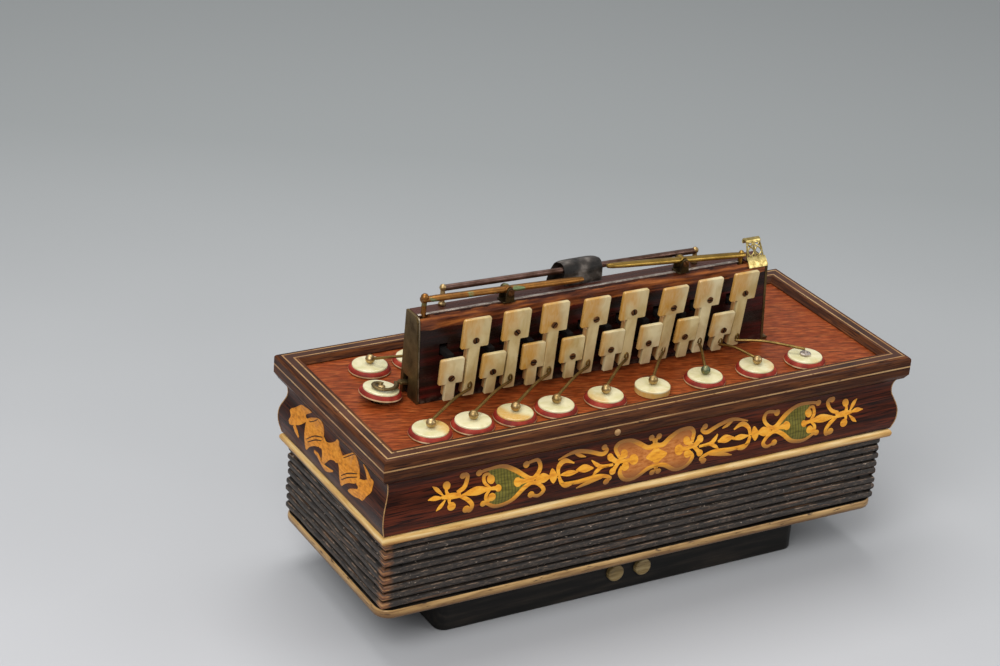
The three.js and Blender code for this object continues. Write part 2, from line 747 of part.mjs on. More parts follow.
// A key in its own frame, with its pivot at the origin: facing, lever bar, lug, wire and ball.
// The bar runs from its foot to its head, and the ending is what the wire carries on the pallet.
function keyGeometry(head, stemFoot, [barFoot, barHead], wirePoints, ending) {
  const facing = plateXZ(facingOutline(head, stemFoot), facingThickness, facingBackY - axleY, 2);
  const barMiddleY = (barBackY + facingBackY) / 2 - axleY;
  const barSize = [leverBarWidth, leverBarThickness, barHead - barFoot];
  const lever = block(barSize, [0, barMiddleY, (barHead + barFoot) / 2]);
  const upright = leaning(joined([facing, lever]), stemFoot);
  const lugSpan = axleY - barBackY - stemFoot * leanSlope + leverBarThickness / 2;
  const lug = block([lugWidth, lugSpan, 2 * lugRadius], [0, -lugSpan / 2, 0]);
  const eye = bar("x", lugRadius, lugWidth, [0, 0, 0], 2 * wireSides);
  const bore = bar("x", axleRadius + pinClearance, lugWidth + 2 * cutOverrun, [0, 0, 0]);
  const arm = wire(wirePoints, wireRadius, 2 * wirePoints.length - 1);
  return cutBy(joined([upright, lug, eye, arm, ending]), [bore]);
}

// A pallet: cream pad, red leather washer and pearl disc
function palletGeometry() {
  const leatherZ = padThickness + leatherThickness;
  const pad = [[0, 0], [palletRadius, 0], [palletRadius, padThickness]];
  const leather = [[palletRadius - seatGap, leatherZ], [pearlRadius, leatherZ]];
  const outline = [...pad, ...leather, [pearlRadius, palletHeight], [0, palletHeight]];
  const turned = new THREE.LatheGeometry(outline.map((point) => new THREE.Vector2(...point)), palletSides);
  return weld(turned.rotateX(Math.PI / 2));
}

// A key of the front row: its wire leaves the stem's face low down and fans out to the pallet
function frontKey(name, [x, pivotZ], head, barHeadZ, rootHeight, palletX, hasEyelet) {
  const top = head.top - pivotZ;
  const stemFoot = stemFootZ - pivotZ;
  const rootY = facingFrontY + facingThickness / 2 - (rootHeight - stemFloorGap) * leanSlope;
  const start = [0, rootY - axleY, soundboardZ + rootHeight - pivotZ];
  const end = [palletX - x, frontRowY - axleY, ballZ - pivotZ];
  const middle = start.map((value, k) => (value + end[k]) / 2);
  middle[2] += wireBow;
  const eyelet = bar("z", wireBallRadius, eyeletThickness, end, palletSides / 2);
  const ending = hasEyelet ? eyelet : ball(wireBallRadius, end);
  const ends = [stemFoot, barHeadZ - pivotZ];
  const key = keyGeometry({ ...head, top }, stemFoot, ends, [start, middle, end], ending);
  addPart(name, key, pearl, [x, axleY, pivotZ]);
}

// A key of the back row: its wire goes through the board and bends down to the pallet
function backKey(name, x, head, palletX) {
  const top = head.top - axleZ;
  const stemFoot = stemFootZ - axleZ;
  const wireZ = -rearWireHeight;
  const backY = boardBackFootY - axleY;
  const end = [palletX - x, backRowY - axleY, ballZ - axleZ];
  const [bendX, bendY] = rearBendShares;
  const bend = [bendX * end[0], backY + rearWireReach + bendY * (end[1] - backY), wireZ];
  const rootY = barBackY - leverBarThickness / 2 - (wireZ - stemFoot) * leanSlope;
  const root = [0, rootY - axleY, wireZ];
  const points = [root, [0, 0, wireZ], [0, backY, wireZ], bend, end];
  const ends = [-shortBarLength, barTopOverhang];
  const key = keyGeometry({ ...head, top }, stemFoot, ends, points, ball(wireBallRadius, end));
  addPart(name, key, pearl, [x, axleY, axleZ]);
}

function keysAndPallets() {
  const longTop = axleZ + longHeadRise + longHeadHeight;
  const longHead = { width: longHeadWidth, top: longTop, height: longHeadHeight };
  const shortHead = { width: shortHeadWidth, top: axleZ - shortHeadDrop, height: shortHeadHeight };
  const pallet = palletGeometry();
  const last = keyCount - 1;
  const longBarHeadZ = axleZ + barTopOverhang;
  longKeyX.forEach((x, i) => {
    const palletX = i === last ? frontRowX[keyCount] : frontRowX[i];
    const rootHeight = i === last ? rightWireRootHeight : wireRootHeight;
    frontKey(`key_long_${i + 1}`, [x, axleZ], longHead, longBarHeadZ, rootHeight, palletX, i === last);
    addPart(`pallet_long_${i + 1}`, pallet, palletLeather, [palletX, frontRowY, palletZ]);
  });
  shortKeyX.slice(0, last).forEach((x, i) => {
    backKey(`key_short_${i + 1}`, x, shortHead, backRowX[i]);
    addPart(`pallet_short_${i + 1}`, pallet, palletLeather, [backRowX[i], backRowY, palletZ]);
  });
  const lowPivot = [shortKeyX[last], lowerPinZ];
  const lowBarHeadZ = lowerPinZ + lugRadius + barTopOverhang;
  const lowPalletX = frontRowX[last];
  const lowName = `key_short_${keyCount}`;
  frontKey(lowName, lowPivot, shortHead, lowBarHeadZ, rightWireRootHeight, lowPalletX, false);
  addPart(`pallet_short_${keyCount}`, pallet, palletLeather, [lowPalletX, frontRowY, palletZ]);
}

// Bass pallet and its hooked arm, raised together about the arm's trunnions
function bassValve() {
  const pivotZ = soundboardZ + bassPivotHeight;
  const group = new THREE.Group();
  group.position.set(bassPivotX, bassY, pivotZ);
  group.rotation.y = bassRestAngle;
  flutina.add(group);
  const centreX = bassX - bassPivotX;
  const topZ = palletTopZ - pivotZ;
  const lug = block([bassLugReach, bassLugWidth, bassLugThickness], [-bassLugReach / 2, 0, 0]);
  const trunnions = bar("y", axleRadius, bassTrunnionLength, [0, 0, 0]);
  const eyeMiddle = [centreX, 0, topZ + seatGap + eyeletThickness / 2];
  const eye = bar("z", wireBallRadius, eyeletThickness, eyeMiddle, palletSides / 2);
  const hookSteps = 9;
  const points = [[-bassLugReach + hookRadius, 0, 0]];
  for (let i = 0; i <= hookSteps; i += 1) {
    const along = i / hookSteps;
    const angle = -2 * Math.PI * hookTurns * along;
    const radius = hookOuterRadius + (hookInnerRadius - hookOuterRadius) * along;
    const height = (topZ + seatGap + hookRadius) * Math.min(1, 2 * along);
    points.push([centreX + radius * Math.cos(angle), radius * Math.sin(angle), height]);
  }
  const hook = wire(points, hookRadius, 2 * hookSteps);
  addPart("bass_arm", joined([lug, trunnions, hook, eye]), agedBrass, [0, 0, 0], group);
  addPart("bass_pallet", palletGeometry(), palletLeather, [centreX, 0, palletZ - pivotZ], group);
}

// A thumb lever in its own frame: a tapering strip with a boss on its pin and a post at its outer end
function thumbLever(name, pivotX, innerReach, outerReach, innerSide, tilt) {
  const [inner, outer] = [innerSide * innerReach, -innerSide * outerReach];
  const half = leverWidth / 2;
  const tipHalf = half * leverTipShare;
  const taperX = inner - innerSide * leverTipTaper;
  const nearSide = [[outer, -half], [taperX, -half], [inner, -tipHalf]];
  const farSide = [[inner, tipHalf], [taperX, half], [outer, half]];
  const shape = new THREE.Shape([...nearSide, ...farSide].map((point) => new THREE.Vector2(...point)));
  const strip = new THREE.ExtrudeGeometry(shape, { depth: leverThickness, bevelEnabled: false });
  strip.translate(0, 0, -leverThickness / 2);
  const boss = bar("y", leverBossRadius, leverWidth, [0, 0, 0]);
  const postX = outer + innerSide * postInset;
  const post = block([postWidth, postWidth, postLength], [postX, 0, -postLength / 2]);
  const knob = ball(knobRadius, [postX, 0, leverThickness / 2]);
  const bore = bar("y", leverPinRadius + pinClearance, leverWidth + 2 * cutOverrun, [0, 0, 0]);
  const lever = addPart(name, cutBy(joined([strip, boss, post, knob]), [bore]), agedBrass);
  lever.position.set(pivotX, leverY, boardTopZ + leverPivotHeight);
  lever.rotation.y = tilt;
}

// Bracket with two ears and a fixed pin that a thumb lever rocks on
function leverBracket(name, x) {
  const earMiddleY = leverWidth / 2 + earGap + earThickness / 2;
  const overallWidth = 2 * earMiddleY + earThickness;
  const footZ = seatGap + bracketFootThickness / 2 - leverPivotHeight;
  const parts = [block([bracketFootLength, overallWidth, bracketFootThickness], [0, 0, footZ])];
  for (const side of [-1, 1]) {
    parts.push(bar("y", earRadius, earThickness, [0, side * earMiddleY, 0]));
    parts.push(block([2 * earRadius, earThickness, -footZ], [0, side * earMiddleY, footZ / 2]));
  }
  parts.push(bar("y", leverPinRadius, overallWidth, [0, 0, 0]));
  addPart(name, joined(parts), agedBrass, [x, leverY, boardTopZ + leverPivotHeight]);
}

// Height of the rail's middle above the floor at a place along the board
function railZAt(x) {
  const along = (x - railLeftX) / (railRightX - railLeftX);
  return boardTopZ + railLeftHeight + along * (railRightHeight - railLeftHeight);
}

// Rail behind the levers, falling a little to the right, held between two ball-topped posts
function thumbRail() {
  const footZ = boardTopZ + seatGap;
  const middleX = (railLeftX + railRightX) / 2;
  const [run, fall] = [railRightX - railLeftX, railLeftHeight - railRightHeight];
  const rod = bar("x", railRadius, Math.hypot(run, fall), [0, 0, 0]).rotateY(Math.atan2(fall, run));
  const parts = [rod.translate(middleX, railY, railZAt(middleX))];
  for (const x of [railLeftX, railRightX]) {
    const z = railZAt(x);
    parts.push(ball(railBallRadius, [x, railY, z]));
    parts.push(bar("z", railPostRadius, z - footZ, [x, railY, (z + footZ) / 2]));
  }
  addPart("thumb_rail", joined(parts), agedBrass);
}

// Outline in the YZ plane of a strip of even thickness along a smooth curve through [y, z] points
function ribbon(points, thickness, steps) {
  const centreline = new THREE.CatmullRomCurve3(points.map(([y, z]) => new THREE.Vector3(y, z, 0)));
  const [near, far] = [[], []];
  for (let i = 0; i <= steps; i += 1) {
    const point = centreline.getPointAt(i / steps);
    const tangent = centreline.getTangentAt(i / steps);
    const across = new THREE.Vector2(-tangent.y, tangent.x).multiplyScalar(thickness / 2);
    near.push(new THREE.Vector2(point.x + across.x, point.y + across.y));
    far.push(new THREE.Vector2(point.x - across.x, point.y - across.y));
  }
  return new THREE.Shape([...near, ...far.reverse()]);
}

// Leather thumb strap: from the board's top, over the rail and down behind to the board's back
function thumbStrap() {
  const footZ = boardTopZ + seatGap;
  const railZ = railZAt(strapCentreX);
  const frontY = railY - railRadius - seatGap - strapThickness / 2;
  const backFootZ = boardTopZ - strapFootDrop;
  const slope = (boardBackFootY - boardBackTopY) / boardHeight;
  const backFaceY = boardBackTopY + slope * strapFootDrop;
  const backY = backFaceY + strapBackReach;
  const seamY = backFaceY + seatGap + strapThickness / 2;
  const centreline = [
    [frontY, footZ], [frontY, railZ],
    [frontY + strapThickness / 2, railZ + railRadius + strapThickness / 2],
    [railY + railRadius, boardTopZ + strapCrown], [(railY + backY) / 2 + railRadius, railZ],
    [backY, boardTopZ - strapShoulderDrop], [backY - strapHipInset, backFootZ + strapHipRise],
    [seamY + strapThickness, backFootZ - strapThickness], [seamY, backFootZ - strapSeamLength],
  ];
  const strap = plateYZ(ribbon(centreline, strapThickness, 20), strapWidth, strapCentreX - strapWidth / 2);
  addPart("thumb_strap", weld(strap), strapLeather);
}

// Pierced brass guard at the treble end: its foot lies on the chamfer, and it leans back and curls over
function fretBracket() {
  const lift = (seatGap + fretThickness / 2) * Math.SQRT1_2;
  const foot = [chamferFootY - lift, boardTopZ - boardChamfer + lift];
  const bend = [chamferHeadY - lift, boardTopZ + lift];
  const [headY, headZ] = [bend[0] + fretLean, bend[1] + fretHeight];
  const curl = [[headY + fretCurl, headZ + fretCurl], [headY + 2 * fretCurl, headZ]];
  const points = [foot, bend, [bend[0] + fretLean / 2, bend[1] + fretHeight / 2], [headY, headZ], ...curl];
  const leftX = boardRightX + fretEndGap - fretWidth;
  const plate = plateYZ(ribbon(points, fretThickness, 14), fretWidth, leftX);
  const cellWidth = (fretWidth - fretBar) / fretColumns;
  const cellHeight = fretHeight / fretRows;
  const [w, h] = [(cellWidth - fretBar) / 2, (cellHeight - fretBar) / 2];
  const corners = [[0, -h], [w, 0], [0, h], [-w, 0]].map((point) => new THREE.Vector2(...point));
  const lozenge = new THREE.Shape(corners);
  const openings = [];
  for (let column = 0; column < fretColumns; column += 1) {
    for (let row = 0; row < fretRows; row += 1) {
      const x = leftX + fretBar / 2 + (column + 0.5) * cellWidth;
      const z = bend[1] + (row + 0.5) * cellHeight;
      const opening = plateXZ(lozenge, 2 * fretLean + fretThickness, headY + fretThickness);
      openings.push(opening.translate(x, 0, z));
    }
  }
  addPart("fret_bracket", cutBy(plate, openings), agedBrass);
}

plinth();
baseButton("base_button_left", buttonLeftX);
baseButton("base_button_right", buttonRightX);
bottomBoard();
bellows();
beadTrim();
caseWalls();
topMoulding();
soundboard();
reedPan();
keyboardBoard();
endPlates();
keyPins();
keysAndPallets();
bassValve();
thumbLever("thumb_lever_left", leftPivotX, leftInnerReach, leftOuterReach, 1, leftRestAngle);
thumbLever("thumb_lever_right", rightPivotX, rightInnerReach, rightOuterReach, -1, rightRestAngle);
leverBracket("lever_bracket_left", leftPivotX);
leverBracket("lever_bracket_right", rightPivotX);
thumbRail();
thumbStrap();
fretBracket();

export default flutina;
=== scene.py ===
# %% [markdown]
# A flutina of about 1850, dressed with the finishes of its real materials.
# The instrument is a small accordion: a rosewood case stands on folded bellows, and an upright board on
# the case carries sixteen pearl keys, whose wires lift round pallets off the holes of the soundboard.
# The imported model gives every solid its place. Here each visible piece gets its fine shape and finish.

import math
from collections import namedtuple

import bpy
import numpy as np
from mathutils import Matrix


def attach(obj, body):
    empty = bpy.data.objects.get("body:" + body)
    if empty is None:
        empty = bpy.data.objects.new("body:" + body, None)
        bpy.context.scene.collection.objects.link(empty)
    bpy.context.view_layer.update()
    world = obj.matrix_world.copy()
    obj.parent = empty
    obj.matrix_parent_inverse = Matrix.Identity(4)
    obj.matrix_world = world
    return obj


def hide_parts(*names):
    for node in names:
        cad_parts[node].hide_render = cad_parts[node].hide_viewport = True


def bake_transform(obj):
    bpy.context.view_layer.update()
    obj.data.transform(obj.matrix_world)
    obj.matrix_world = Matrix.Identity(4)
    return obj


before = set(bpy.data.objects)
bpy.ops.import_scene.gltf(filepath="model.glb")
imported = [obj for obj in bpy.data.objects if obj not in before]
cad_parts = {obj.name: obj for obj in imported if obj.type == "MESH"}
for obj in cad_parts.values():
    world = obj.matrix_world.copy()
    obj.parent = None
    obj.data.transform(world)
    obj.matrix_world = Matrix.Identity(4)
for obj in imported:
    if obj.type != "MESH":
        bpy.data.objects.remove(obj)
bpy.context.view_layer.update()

# %% [markdown]
# All shapes below are worked out in millimetres, because that is how an instrument maker would note them.
# Blender works in metres, so one factor turns the finished points into metres. The sizes are those of the
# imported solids, measured from the middle of the plinth's underside.

# %% Sizes of the instrument in millimetres
MM = 0.001
HALF_LENGTH, HALF_WIDTH = 150.0, 58.0
BOTTOM_BOARD_Z, BOTTOM_BOARD_TOP = 23.9, 28.6
BELLOWS_Z, BELLOWS_TOP = 28.9, 65.7
BEAD_Z, BEAD_TOP = 66.0, 71.3
WALL_Z, WALL_TOP = 71.6, 101.5
SOUNDBOARD_Z, RIM_Z = 110.7, 114.0
BOARD_LEFT, BOARD_RIGHT, BOARD_TOP = -107.6, 93.15, 155.2
AXLE_Y, AXLE_Z, LOW_PIN_Z = -4.5, 137.0, 119.0
LONG_X = np.array([-84.3, -61.74, -39.8, -17.23, 5.28, 27.34, 49.28, 71.4])
SHORT_X = np.array([-94.98, -72.47, -49.32, -27.32, -4.28, 17.82, 39.73, 61.19])
FRONT_ROW_X = np.array([-117.2, -94.3, -71.2, -48.3, -20.1, 7.3, 38.6, 70.1, 100.4])
BACK_ROW_X = 300 * np.array([-0.3783, -0.297, -0.2157, -0.1343, -0.053, 0.0283, 0.1097])
FRONT_ROW_Y, BACK_ROW_Y = -38.6, 33.0
PALLET_Z, PALLET_TOP, BALL_RADIUS = 111.0, 114.6, 2.4

# %% [markdown]
# Surfaces are grids of points. A grid has rows and columns, and each square between neighbouring points
# becomes one face. A grid whose columns close into rings, with a flat face at both ends, is a closed body.
# Working on whole arrays keeps this fast, and the sign of the enclosed volume tells whether the faces look
# outwards, so no shape can come out inside out.

# %% Grids of points become closed bodies
Surface = namedtuple("Surface", "points quads caps slots")


def signed_volume(points, quads, caps):
    """Adds up the volumes of the tetrahedra between the origin and each triangle of the faces."""
    halves = [quads[:, [0, 1, 2]], quads[:, [0, 2, 3]]]
    for cap in caps:
        halves.append(np.stack([np.full(len(cap) - 2, cap[0]), cap[1:-1], cap[2:]], axis=1))
    a, b, c = (points[np.concatenate(halves)[:, k]] for k in range(3))
    return np.einsum("ij,ij->i", a, np.cross(b, c)).sum() / 6


def body_of(grid, slots=0, closed_rows=False):
    """Joins a grid (rows, columns, 3) of rings into a closed body.

    Each face joins point (i, j) to (i, j+1), (i+1, j+1) and (i+1, j). Columns always wrap round.
    Rows wrap round too if closed_rows, and otherwise the first and last rings get a flat cap.
    """
    rows, columns = grid.shape[:2]
    points = grid.reshape(-1, 3).astype(float)
    i = np.arange(rows if closed_rows else rows - 1)[:, None]
    j = np.arange(columns)[None, :]
    below, beside = (i + 1) % rows * columns, (j + 1) % columns
    quads = np.stack([i * columns + j, i * columns + beside, below + beside, below + j], axis=-1)
    quads = quads.reshape(-1, 4)
    ring = np.arange(columns)
    caps = [] if closed_rows else [ring[::-1], ring + (rows - 1) * columns]
    if signed_volume(points - points.mean(0), quads, caps) < 0:
        quads, caps = quads[:, ::-1], [cap[::-1] for cap in caps]
    face_slots = np.broadcast_to(np.asarray(slots), (len(i), columns)).reshape(-1)
    cap_slots = [] if closed_rows else [face_slots[0], face_slots[-1]]
    return Surface(points, quads, caps, np.concatenate([face_slots, cap_slots]).astype(int))


def placed(surface, matrix=None, shift=(0, 0, 0)):
    """Turns a surface's points by a 3 x 3 matrix and then moves them."""
    points = surface.points if matrix is None else surface.points @ np.asarray(matrix).T
    return surface._replace(points=points + np.asarray(shift, float))


def make_piece(name, surfaces, materials, body, replaced=(), sharp_degrees=38, values=None):
    """Puts surfaces into one mesh, in metres, and lets it ride on a body of the frame."""
    points, faces, slots, start = [], [], [], 0
    for surface in surfaces:
        points.append(surface.points)
        faces += (surface.quads + start).tolist() + [(cap + start).tolist() for cap in surface.caps]
        slots.append(surface.slots)
        start += len(surface.points)
    mesh = bpy.data.meshes.new(name)
    mesh.from_pydata((np.concatenate(points) * MM).tolist(), [], faces)
    for material in materials:
        mesh.materials.append(material)
    mesh.polygons.foreach_set("material_index", np.concatenate(slots).astype(np.int32))
    mesh.polygons.foreach_set("use_smooth", np.ones(len(faces), bool))
    mesh.set_sharp_from_angle(angle=math.radians(sharp_degrees))
    for key, value in (values or {}).items():
        array = value(np.concatenate(points)) if callable(value) else value
        mesh.attributes.new(key, "FLOAT", "POINT").data.foreach_set("value", np.asarray(array, np.float32))
    mesh.update()
    piece = bpy.data.objects.new(name, mesh)
    bpy.context.scene.collection.objects.link(piece)
    if body:
        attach(piece, body)
    if replaced:
        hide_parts(*replaced)
    return piece


# %% [markdown]
# A few ways to lay out a grid cover the whole instrument: a turned body such as a ball or a pallet, a round
# wire along a curve, a flat plate with softened edges, and a moulding that runs round the case.

# %% Turned bodies, curves and wires
TO_FRONT = np.array([[1, 0, 0], [0, 0, -1], [0, 1, 0]], float)


def unit(vectors):
    """Vectors divided by their lengths, which are the roots of their summed squares."""
    return vectors / np.maximum(np.linalg.norm(vectors, axis=-1, keepdims=True), 1e-9)


def arc(turn, radius=1.0, centre=(0, 0)):
    """Points at the angles of turn: the centre plus radius times (cos, sin). Two radii give an ellipse."""
    return np.asarray(centre) + np.asarray(radius) * np.stack([np.cos(turn), np.sin(turn)], axis=-1)


def drawn_along_x(xs, section):
    """Grid of one closed (y, z) section repeated at each x."""
    section = np.broadcast_to(section, (len(xs), *np.shape(section)))
    return np.concatenate([np.broadcast_to(xs[:, None, None], (*section.shape[:2], 1)), section], axis=2)


def tipped_about_x(degrees):
    """Turns y towards z by the angle: a positive one tips the head of an upright piece to the front."""
    c, s = math.cos(math.radians(degrees)), math.sin(math.radians(degrees))
    return np.array([[1, 0, 0], [0, c, -s], [0, s, c]])


def tipped_about_y(degrees):
    """Turns z towards x by the angle: a positive one lowers the right-hand end of a level piece."""
    c, s = math.cos(math.radians(degrees)), math.sin(math.radians(degrees))
    return np.array([[c, 0, s], [0, 1, 0], [-s, 0, c]])


def turned(profile, sides=40, slots=0):
    """A lathe: each (radius, height) of the profile becomes a ring, at angle a x = r cos a, y = r sin a."""
    profile = np.asarray(profile, float)
    angle = 2 * np.pi * np.arange(sides) / sides
    flat = profile[:, None, :1] * arc(angle)[None]
    height = np.broadcast_to(profile[:, None, 1:], (len(profile), sides, 1))
    column_slots = np.asarray(slots)[:, None] if np.ndim(slots) else slots
    return body_of(np.concatenate([flat, height], axis=2), column_slots)


def spline(points, count, closed=False):
    """Catmull-Rom curve: between two points it leaves and arrives along the line of their neighbours."""
    p = np.asarray(points, float)
    if closed:
        p = np.concatenate([p[-1:], p, p[:2]])
    else:
        p = np.concatenate([[2 * p[0] - p[1]], p, [2 * p[-1] - p[-2]]])
    t = np.linspace(0, len(p) - 3, count, endpoint=not closed)
    k = np.minimum(t.astype(int), len(p) - 4)
    f = (t - k)[:, None]
    a, b, c, d = p[k], p[k + 1], p[k + 2], p[k + 3]
    return 0.5 * (2 * b + (c - a) * f + (2 * a - 5 * b + 4 * c - d) * f**2 + (3 * b - a - 3 * c + d) * f**3)


def wire(path, radius, sides=10, up=(0, 0, 1), flatten=1.0, slot=0):
    """A round bar: rings of the given radius stand square to the path, which must not run along up."""
    path = np.asarray(path, float)
    along = unit(np.gradient(path, axis=0))
    side = unit(np.cross(along, up))
    rise = np.cross(side, along)
    angle = 2 * np.pi * np.arange(sides) / sides
    radius = np.broadcast_to(np.asarray(radius, float), (len(path),))[:, None, None]
    across = np.cos(angle)[None, :, None] * side[:, None]
    ring = across + flatten * np.sin(angle)[None, :, None] * rise[:, None]
    return body_of(path[:, None] + radius * ring, slot)


def ball(x, y, z, radius=BALL_RADIUS, slot=0, sides=24):
    """A turned ball: at angle a above its middle the radius is r cos a and the height r sin a."""
    angle = np.linspace(-np.pi / 2 + 0.12, np.pi / 2 - 0.12, 14)
    return placed(turned(arc(angle, radius), sides, slot), None, (x, y, z))


# %% Plates with softened edges
def rounded(outline, radius, steps=5):
    """Rounds each corner of a closed outline along a parabola that the corner pulls towards itself."""
    corner = np.asarray(outline, float)
    radius = np.broadcast_to(np.asarray(radius, float), (len(corner),))[:, None]
    to_last, to_next = np.roll(corner, 1, 0) - corner, np.roll(corner, -1, 0) - corner
    start, end = corner + radius * unit(to_last), corner + radius * unit(to_next)
    t = np.linspace(0, 1, steps)[None, :, None]
    arcs = (1 - t) ** 2 * start[:, None] + 2 * t * (1 - t) * corner[:, None] + t**2 * end[:, None]
    return arcs.reshape(-1, 2)


def outline_normals(outline):
    """Outward normals of a closed outline that runs anticlockwise, long enough to keep the sides parallel."""
    forward = unit(np.roll(outline, -1, 0) - outline)
    normal = np.stack([forward[:, 1], -forward[:, 0]], axis=1)
    both = unit(normal + np.roll(normal, 1, 0))
    return both / np.maximum((both * normal).sum(1, keepdims=True), 0.5)


def plate(outline, thickness, edge=0.3, slot=0):
    """A flat plate: the outline goes up its thickness, and is drawn in at both faces by a quarter round."""
    outline = np.asarray(outline, float)
    turn = np.linspace(0, np.pi / 2, 4)
    height, inset = edge * (1 - arc(turn).T)
    insets = np.concatenate([inset, inset[::-1]])
    heights = np.concatenate([height, thickness - height[::-1]])
    flat = outline[None] - insets[:, None, None] * outline_normals(outline)[None]
    up = np.broadcast_to(heights[:, None, None], flat.shape[:2] + (1,))
    return body_of(np.concatenate([flat, up], axis=2), slot)


def box_outline(x0, y0, x1, y1):
    return [[x0, y0], [x1, y0], [x1, y1], [x0, y1]]


# %% Mouldings round the case
CORNERS = np.array([[-1, -1], [1, -1], [1, 1], [-1, 1]], float)


def mitred_path(half_x, half_y, per_side):
    """Points round a rectangle and the way outwards there: at the corners that way is the diagonal."""
    share = np.linspace(0, 1, per_side, endpoint=False)[None, :, None]
    signs = (CORNERS[:, None] * (1 - share) + np.roll(CORNERS, -1, 0)[:, None] * share).reshape(-1, 2)
    return signs * np.array([half_x, half_y]), signs, np.repeat(np.arange(4), per_side)


def rounded_path(half_x, half_y, radius, per_side, per_corner):
    """Points round a rectangle with round corners, and the way outwards there."""
    centres = CORNERS * np.array([half_x - radius, half_y - radius])
    first = np.pi * np.array([1, 1.5, 0, 0.5])
    way = arc(first[:, None] + np.linspace(0, np.pi / 2, per_corner)[None])
    arcs = centres[:, None] + radius * way
    share = np.linspace(0, 1, per_side + 2)[1:-1][None, :, None]
    sides = arcs[:, -1:] * (1 - share) + np.roll(arcs, -1, 0)[:, :1] * share
    side_ways = np.broadcast_to(way[:, -1:], sides.shape)
    points = np.concatenate([arcs, sides], axis=1).reshape(-1, 2)
    return points, np.concatenate([way, side_ways], axis=1).reshape(-1, 2)


def carried_round(path, offset, height):
    """Grid of a section carried round a path: offset and height may differ from place to place."""
    points, ways = path[:2]
    offset, height = np.broadcast_arrays(offset, height)
    offset = np.broadcast_to(offset, (len(offset), len(points)))
    height = np.broadcast_to(height, offset.shape)
    return np.concatenate([points[None] + offset[..., None] * ways[None], height[..., None]], axis=2)


def swept(profile, path, slots=0):
    """A moulding: each (offset, height) of the closed profile runs round the path, offset outwards."""
    profile = np.asarray(profile, float)
    return body_of(carried_round(path, profile[:, :1], profile[:, 1:]), slots, closed_rows=True)


# %% [markdown]
# Materials are built from nodes, so that each one can vary over the surface as the real thing does. One
# small function adds a node, sets it and links what it reads. Colours are written as they look on a screen
# and turned to the linear values that the renderer counts in. A noise repeats about once per unit of its
# coordinates, so dividing them by a size in millimetres gives grains of that size. Every finish here is
# laid up like paint: a ground, colours over it that each cover a part, a relief and a gloss.

# %% One function for nodes, and what every finish shares
Grain = namedtuple("Grain", "size_mm detail roughness distortion shift turn_degrees",
                   defaults=(0.5, 0.0, (0, 0, 0), 0.0))


def linear(code):
    """Screen value s becomes s / 12.92 when small, and otherwise ((s + 0.055) / 1.055) to the power 2.4."""
    s = np.array([int(code[k : k + 2], 16) for k in (1, 3, 5)]) / 255
    return tuple(np.where(s <= 0.04045, s / 12.92, ((s + 0.055) / 1.055) ** 2.4)) + (1.0,)


def per_mm(size_mm):
    """How many grains fit in a metre, for one size in millimetres or a size along each axis."""
    return tuple(1 / (np.broadcast_to(size_mm, 3) * MM))


def add(material, kind, inputs=None, out=0, stops=(), **settings):
    """Adds a node to a material, or sets up one that it has, and gives back one of its outputs.

    Settings are the node's own switches. Inputs go to its sockets by number or name: another node's
    output is linked, a colour code is turned to linear values. Stops are (place, colour) of a ramp.
    """
    tree = material.node_tree
    node = tree.nodes.new("ShaderNode" + kind) if isinstance(kind, str) else kind
    for key, setting in settings.items():
        setattr(node, key, setting)
    for index, (place, code) in enumerate(stops):
        elements = node.color_ramp.elements
        element = elements[index] if index < 2 else elements.new(place)
        element.position, element.color = place, linear(code)
    for key, value in (inputs or {}).items():
        if isinstance(value, bpy.types.NodeSocket):
            tree.links.new(value, node.inputs[key])
        else:
            node.inputs[key].default_value = linear(value) if isinstance(value, str) else value
    return node.outputs[out]


def new_finish(name, *grains):
    """An empty material, the place of each point in the object, and one noise for each kind of grain."""
    material = bpy.data.materials.new(name)
    material.use_nodes = True
    place = add(material, "TexCoord", out="Object")
    noises = []
    for grain in grains:
        turn = {0: place, "Rotation": (0, 0, math.radians(grain.turn_degrees))}
        start = add(material, "Mapping", turn) if grain.turn_degrees else place
        at = add(material, "Mapping", {0: start, "Location": grain.shift, "Scale": per_mm(grain.size_mm)})
        noises.append(add(material, "TexNoise", {
            0: at, "Scale": 1.0, "Detail": grain.detail, "Roughness": grain.roughness,
            "Distortion": grain.distortion}))
    return material, place, *noises


def laid_up(material, ground, layers, relief, gloss):
    """Lays colours over a ground and gives the Principled surface its relief and gloss.

    A layer is (value, low, high, most, colour): while the value goes from low to high, the colour's share
    grows from none to most. A relief is (height, strength, depth in millimetres).
    """
    for value, low, high, most, colour in layers:
        share = add(material, "MapRange", {0: value, 1: low, 2: high, 4: most})
        ground = add(material, "Mix", {0: share, 6: ground, 7: colour}, 2, data_type="RGBA")
    if relief:
        height, strength, depth_mm = relief
        bump = {"Strength": strength, "Distance": depth_mm * MM, "Height": height}
        gloss = {**gloss, "Normal": add(material, "Bump", bump)}
    add(material, material.node_tree.nodes["Principled BSDF"], {"Base Color": ground, **gloss})
    return material


# %% [markdown]
# Rosewood veneer, French polished. The real veneer is a dark brown with redder and blacker streaks along
# the grain, and fine open pores. Streaks are noise that is stretched along the grain, wide ones for the
# figure and thin ones for the pores. The polish is old and thin, so it gives a soft gloss and no more. The
# same function serves the case, whose grain runs along each side, and the redder striped soundboard.

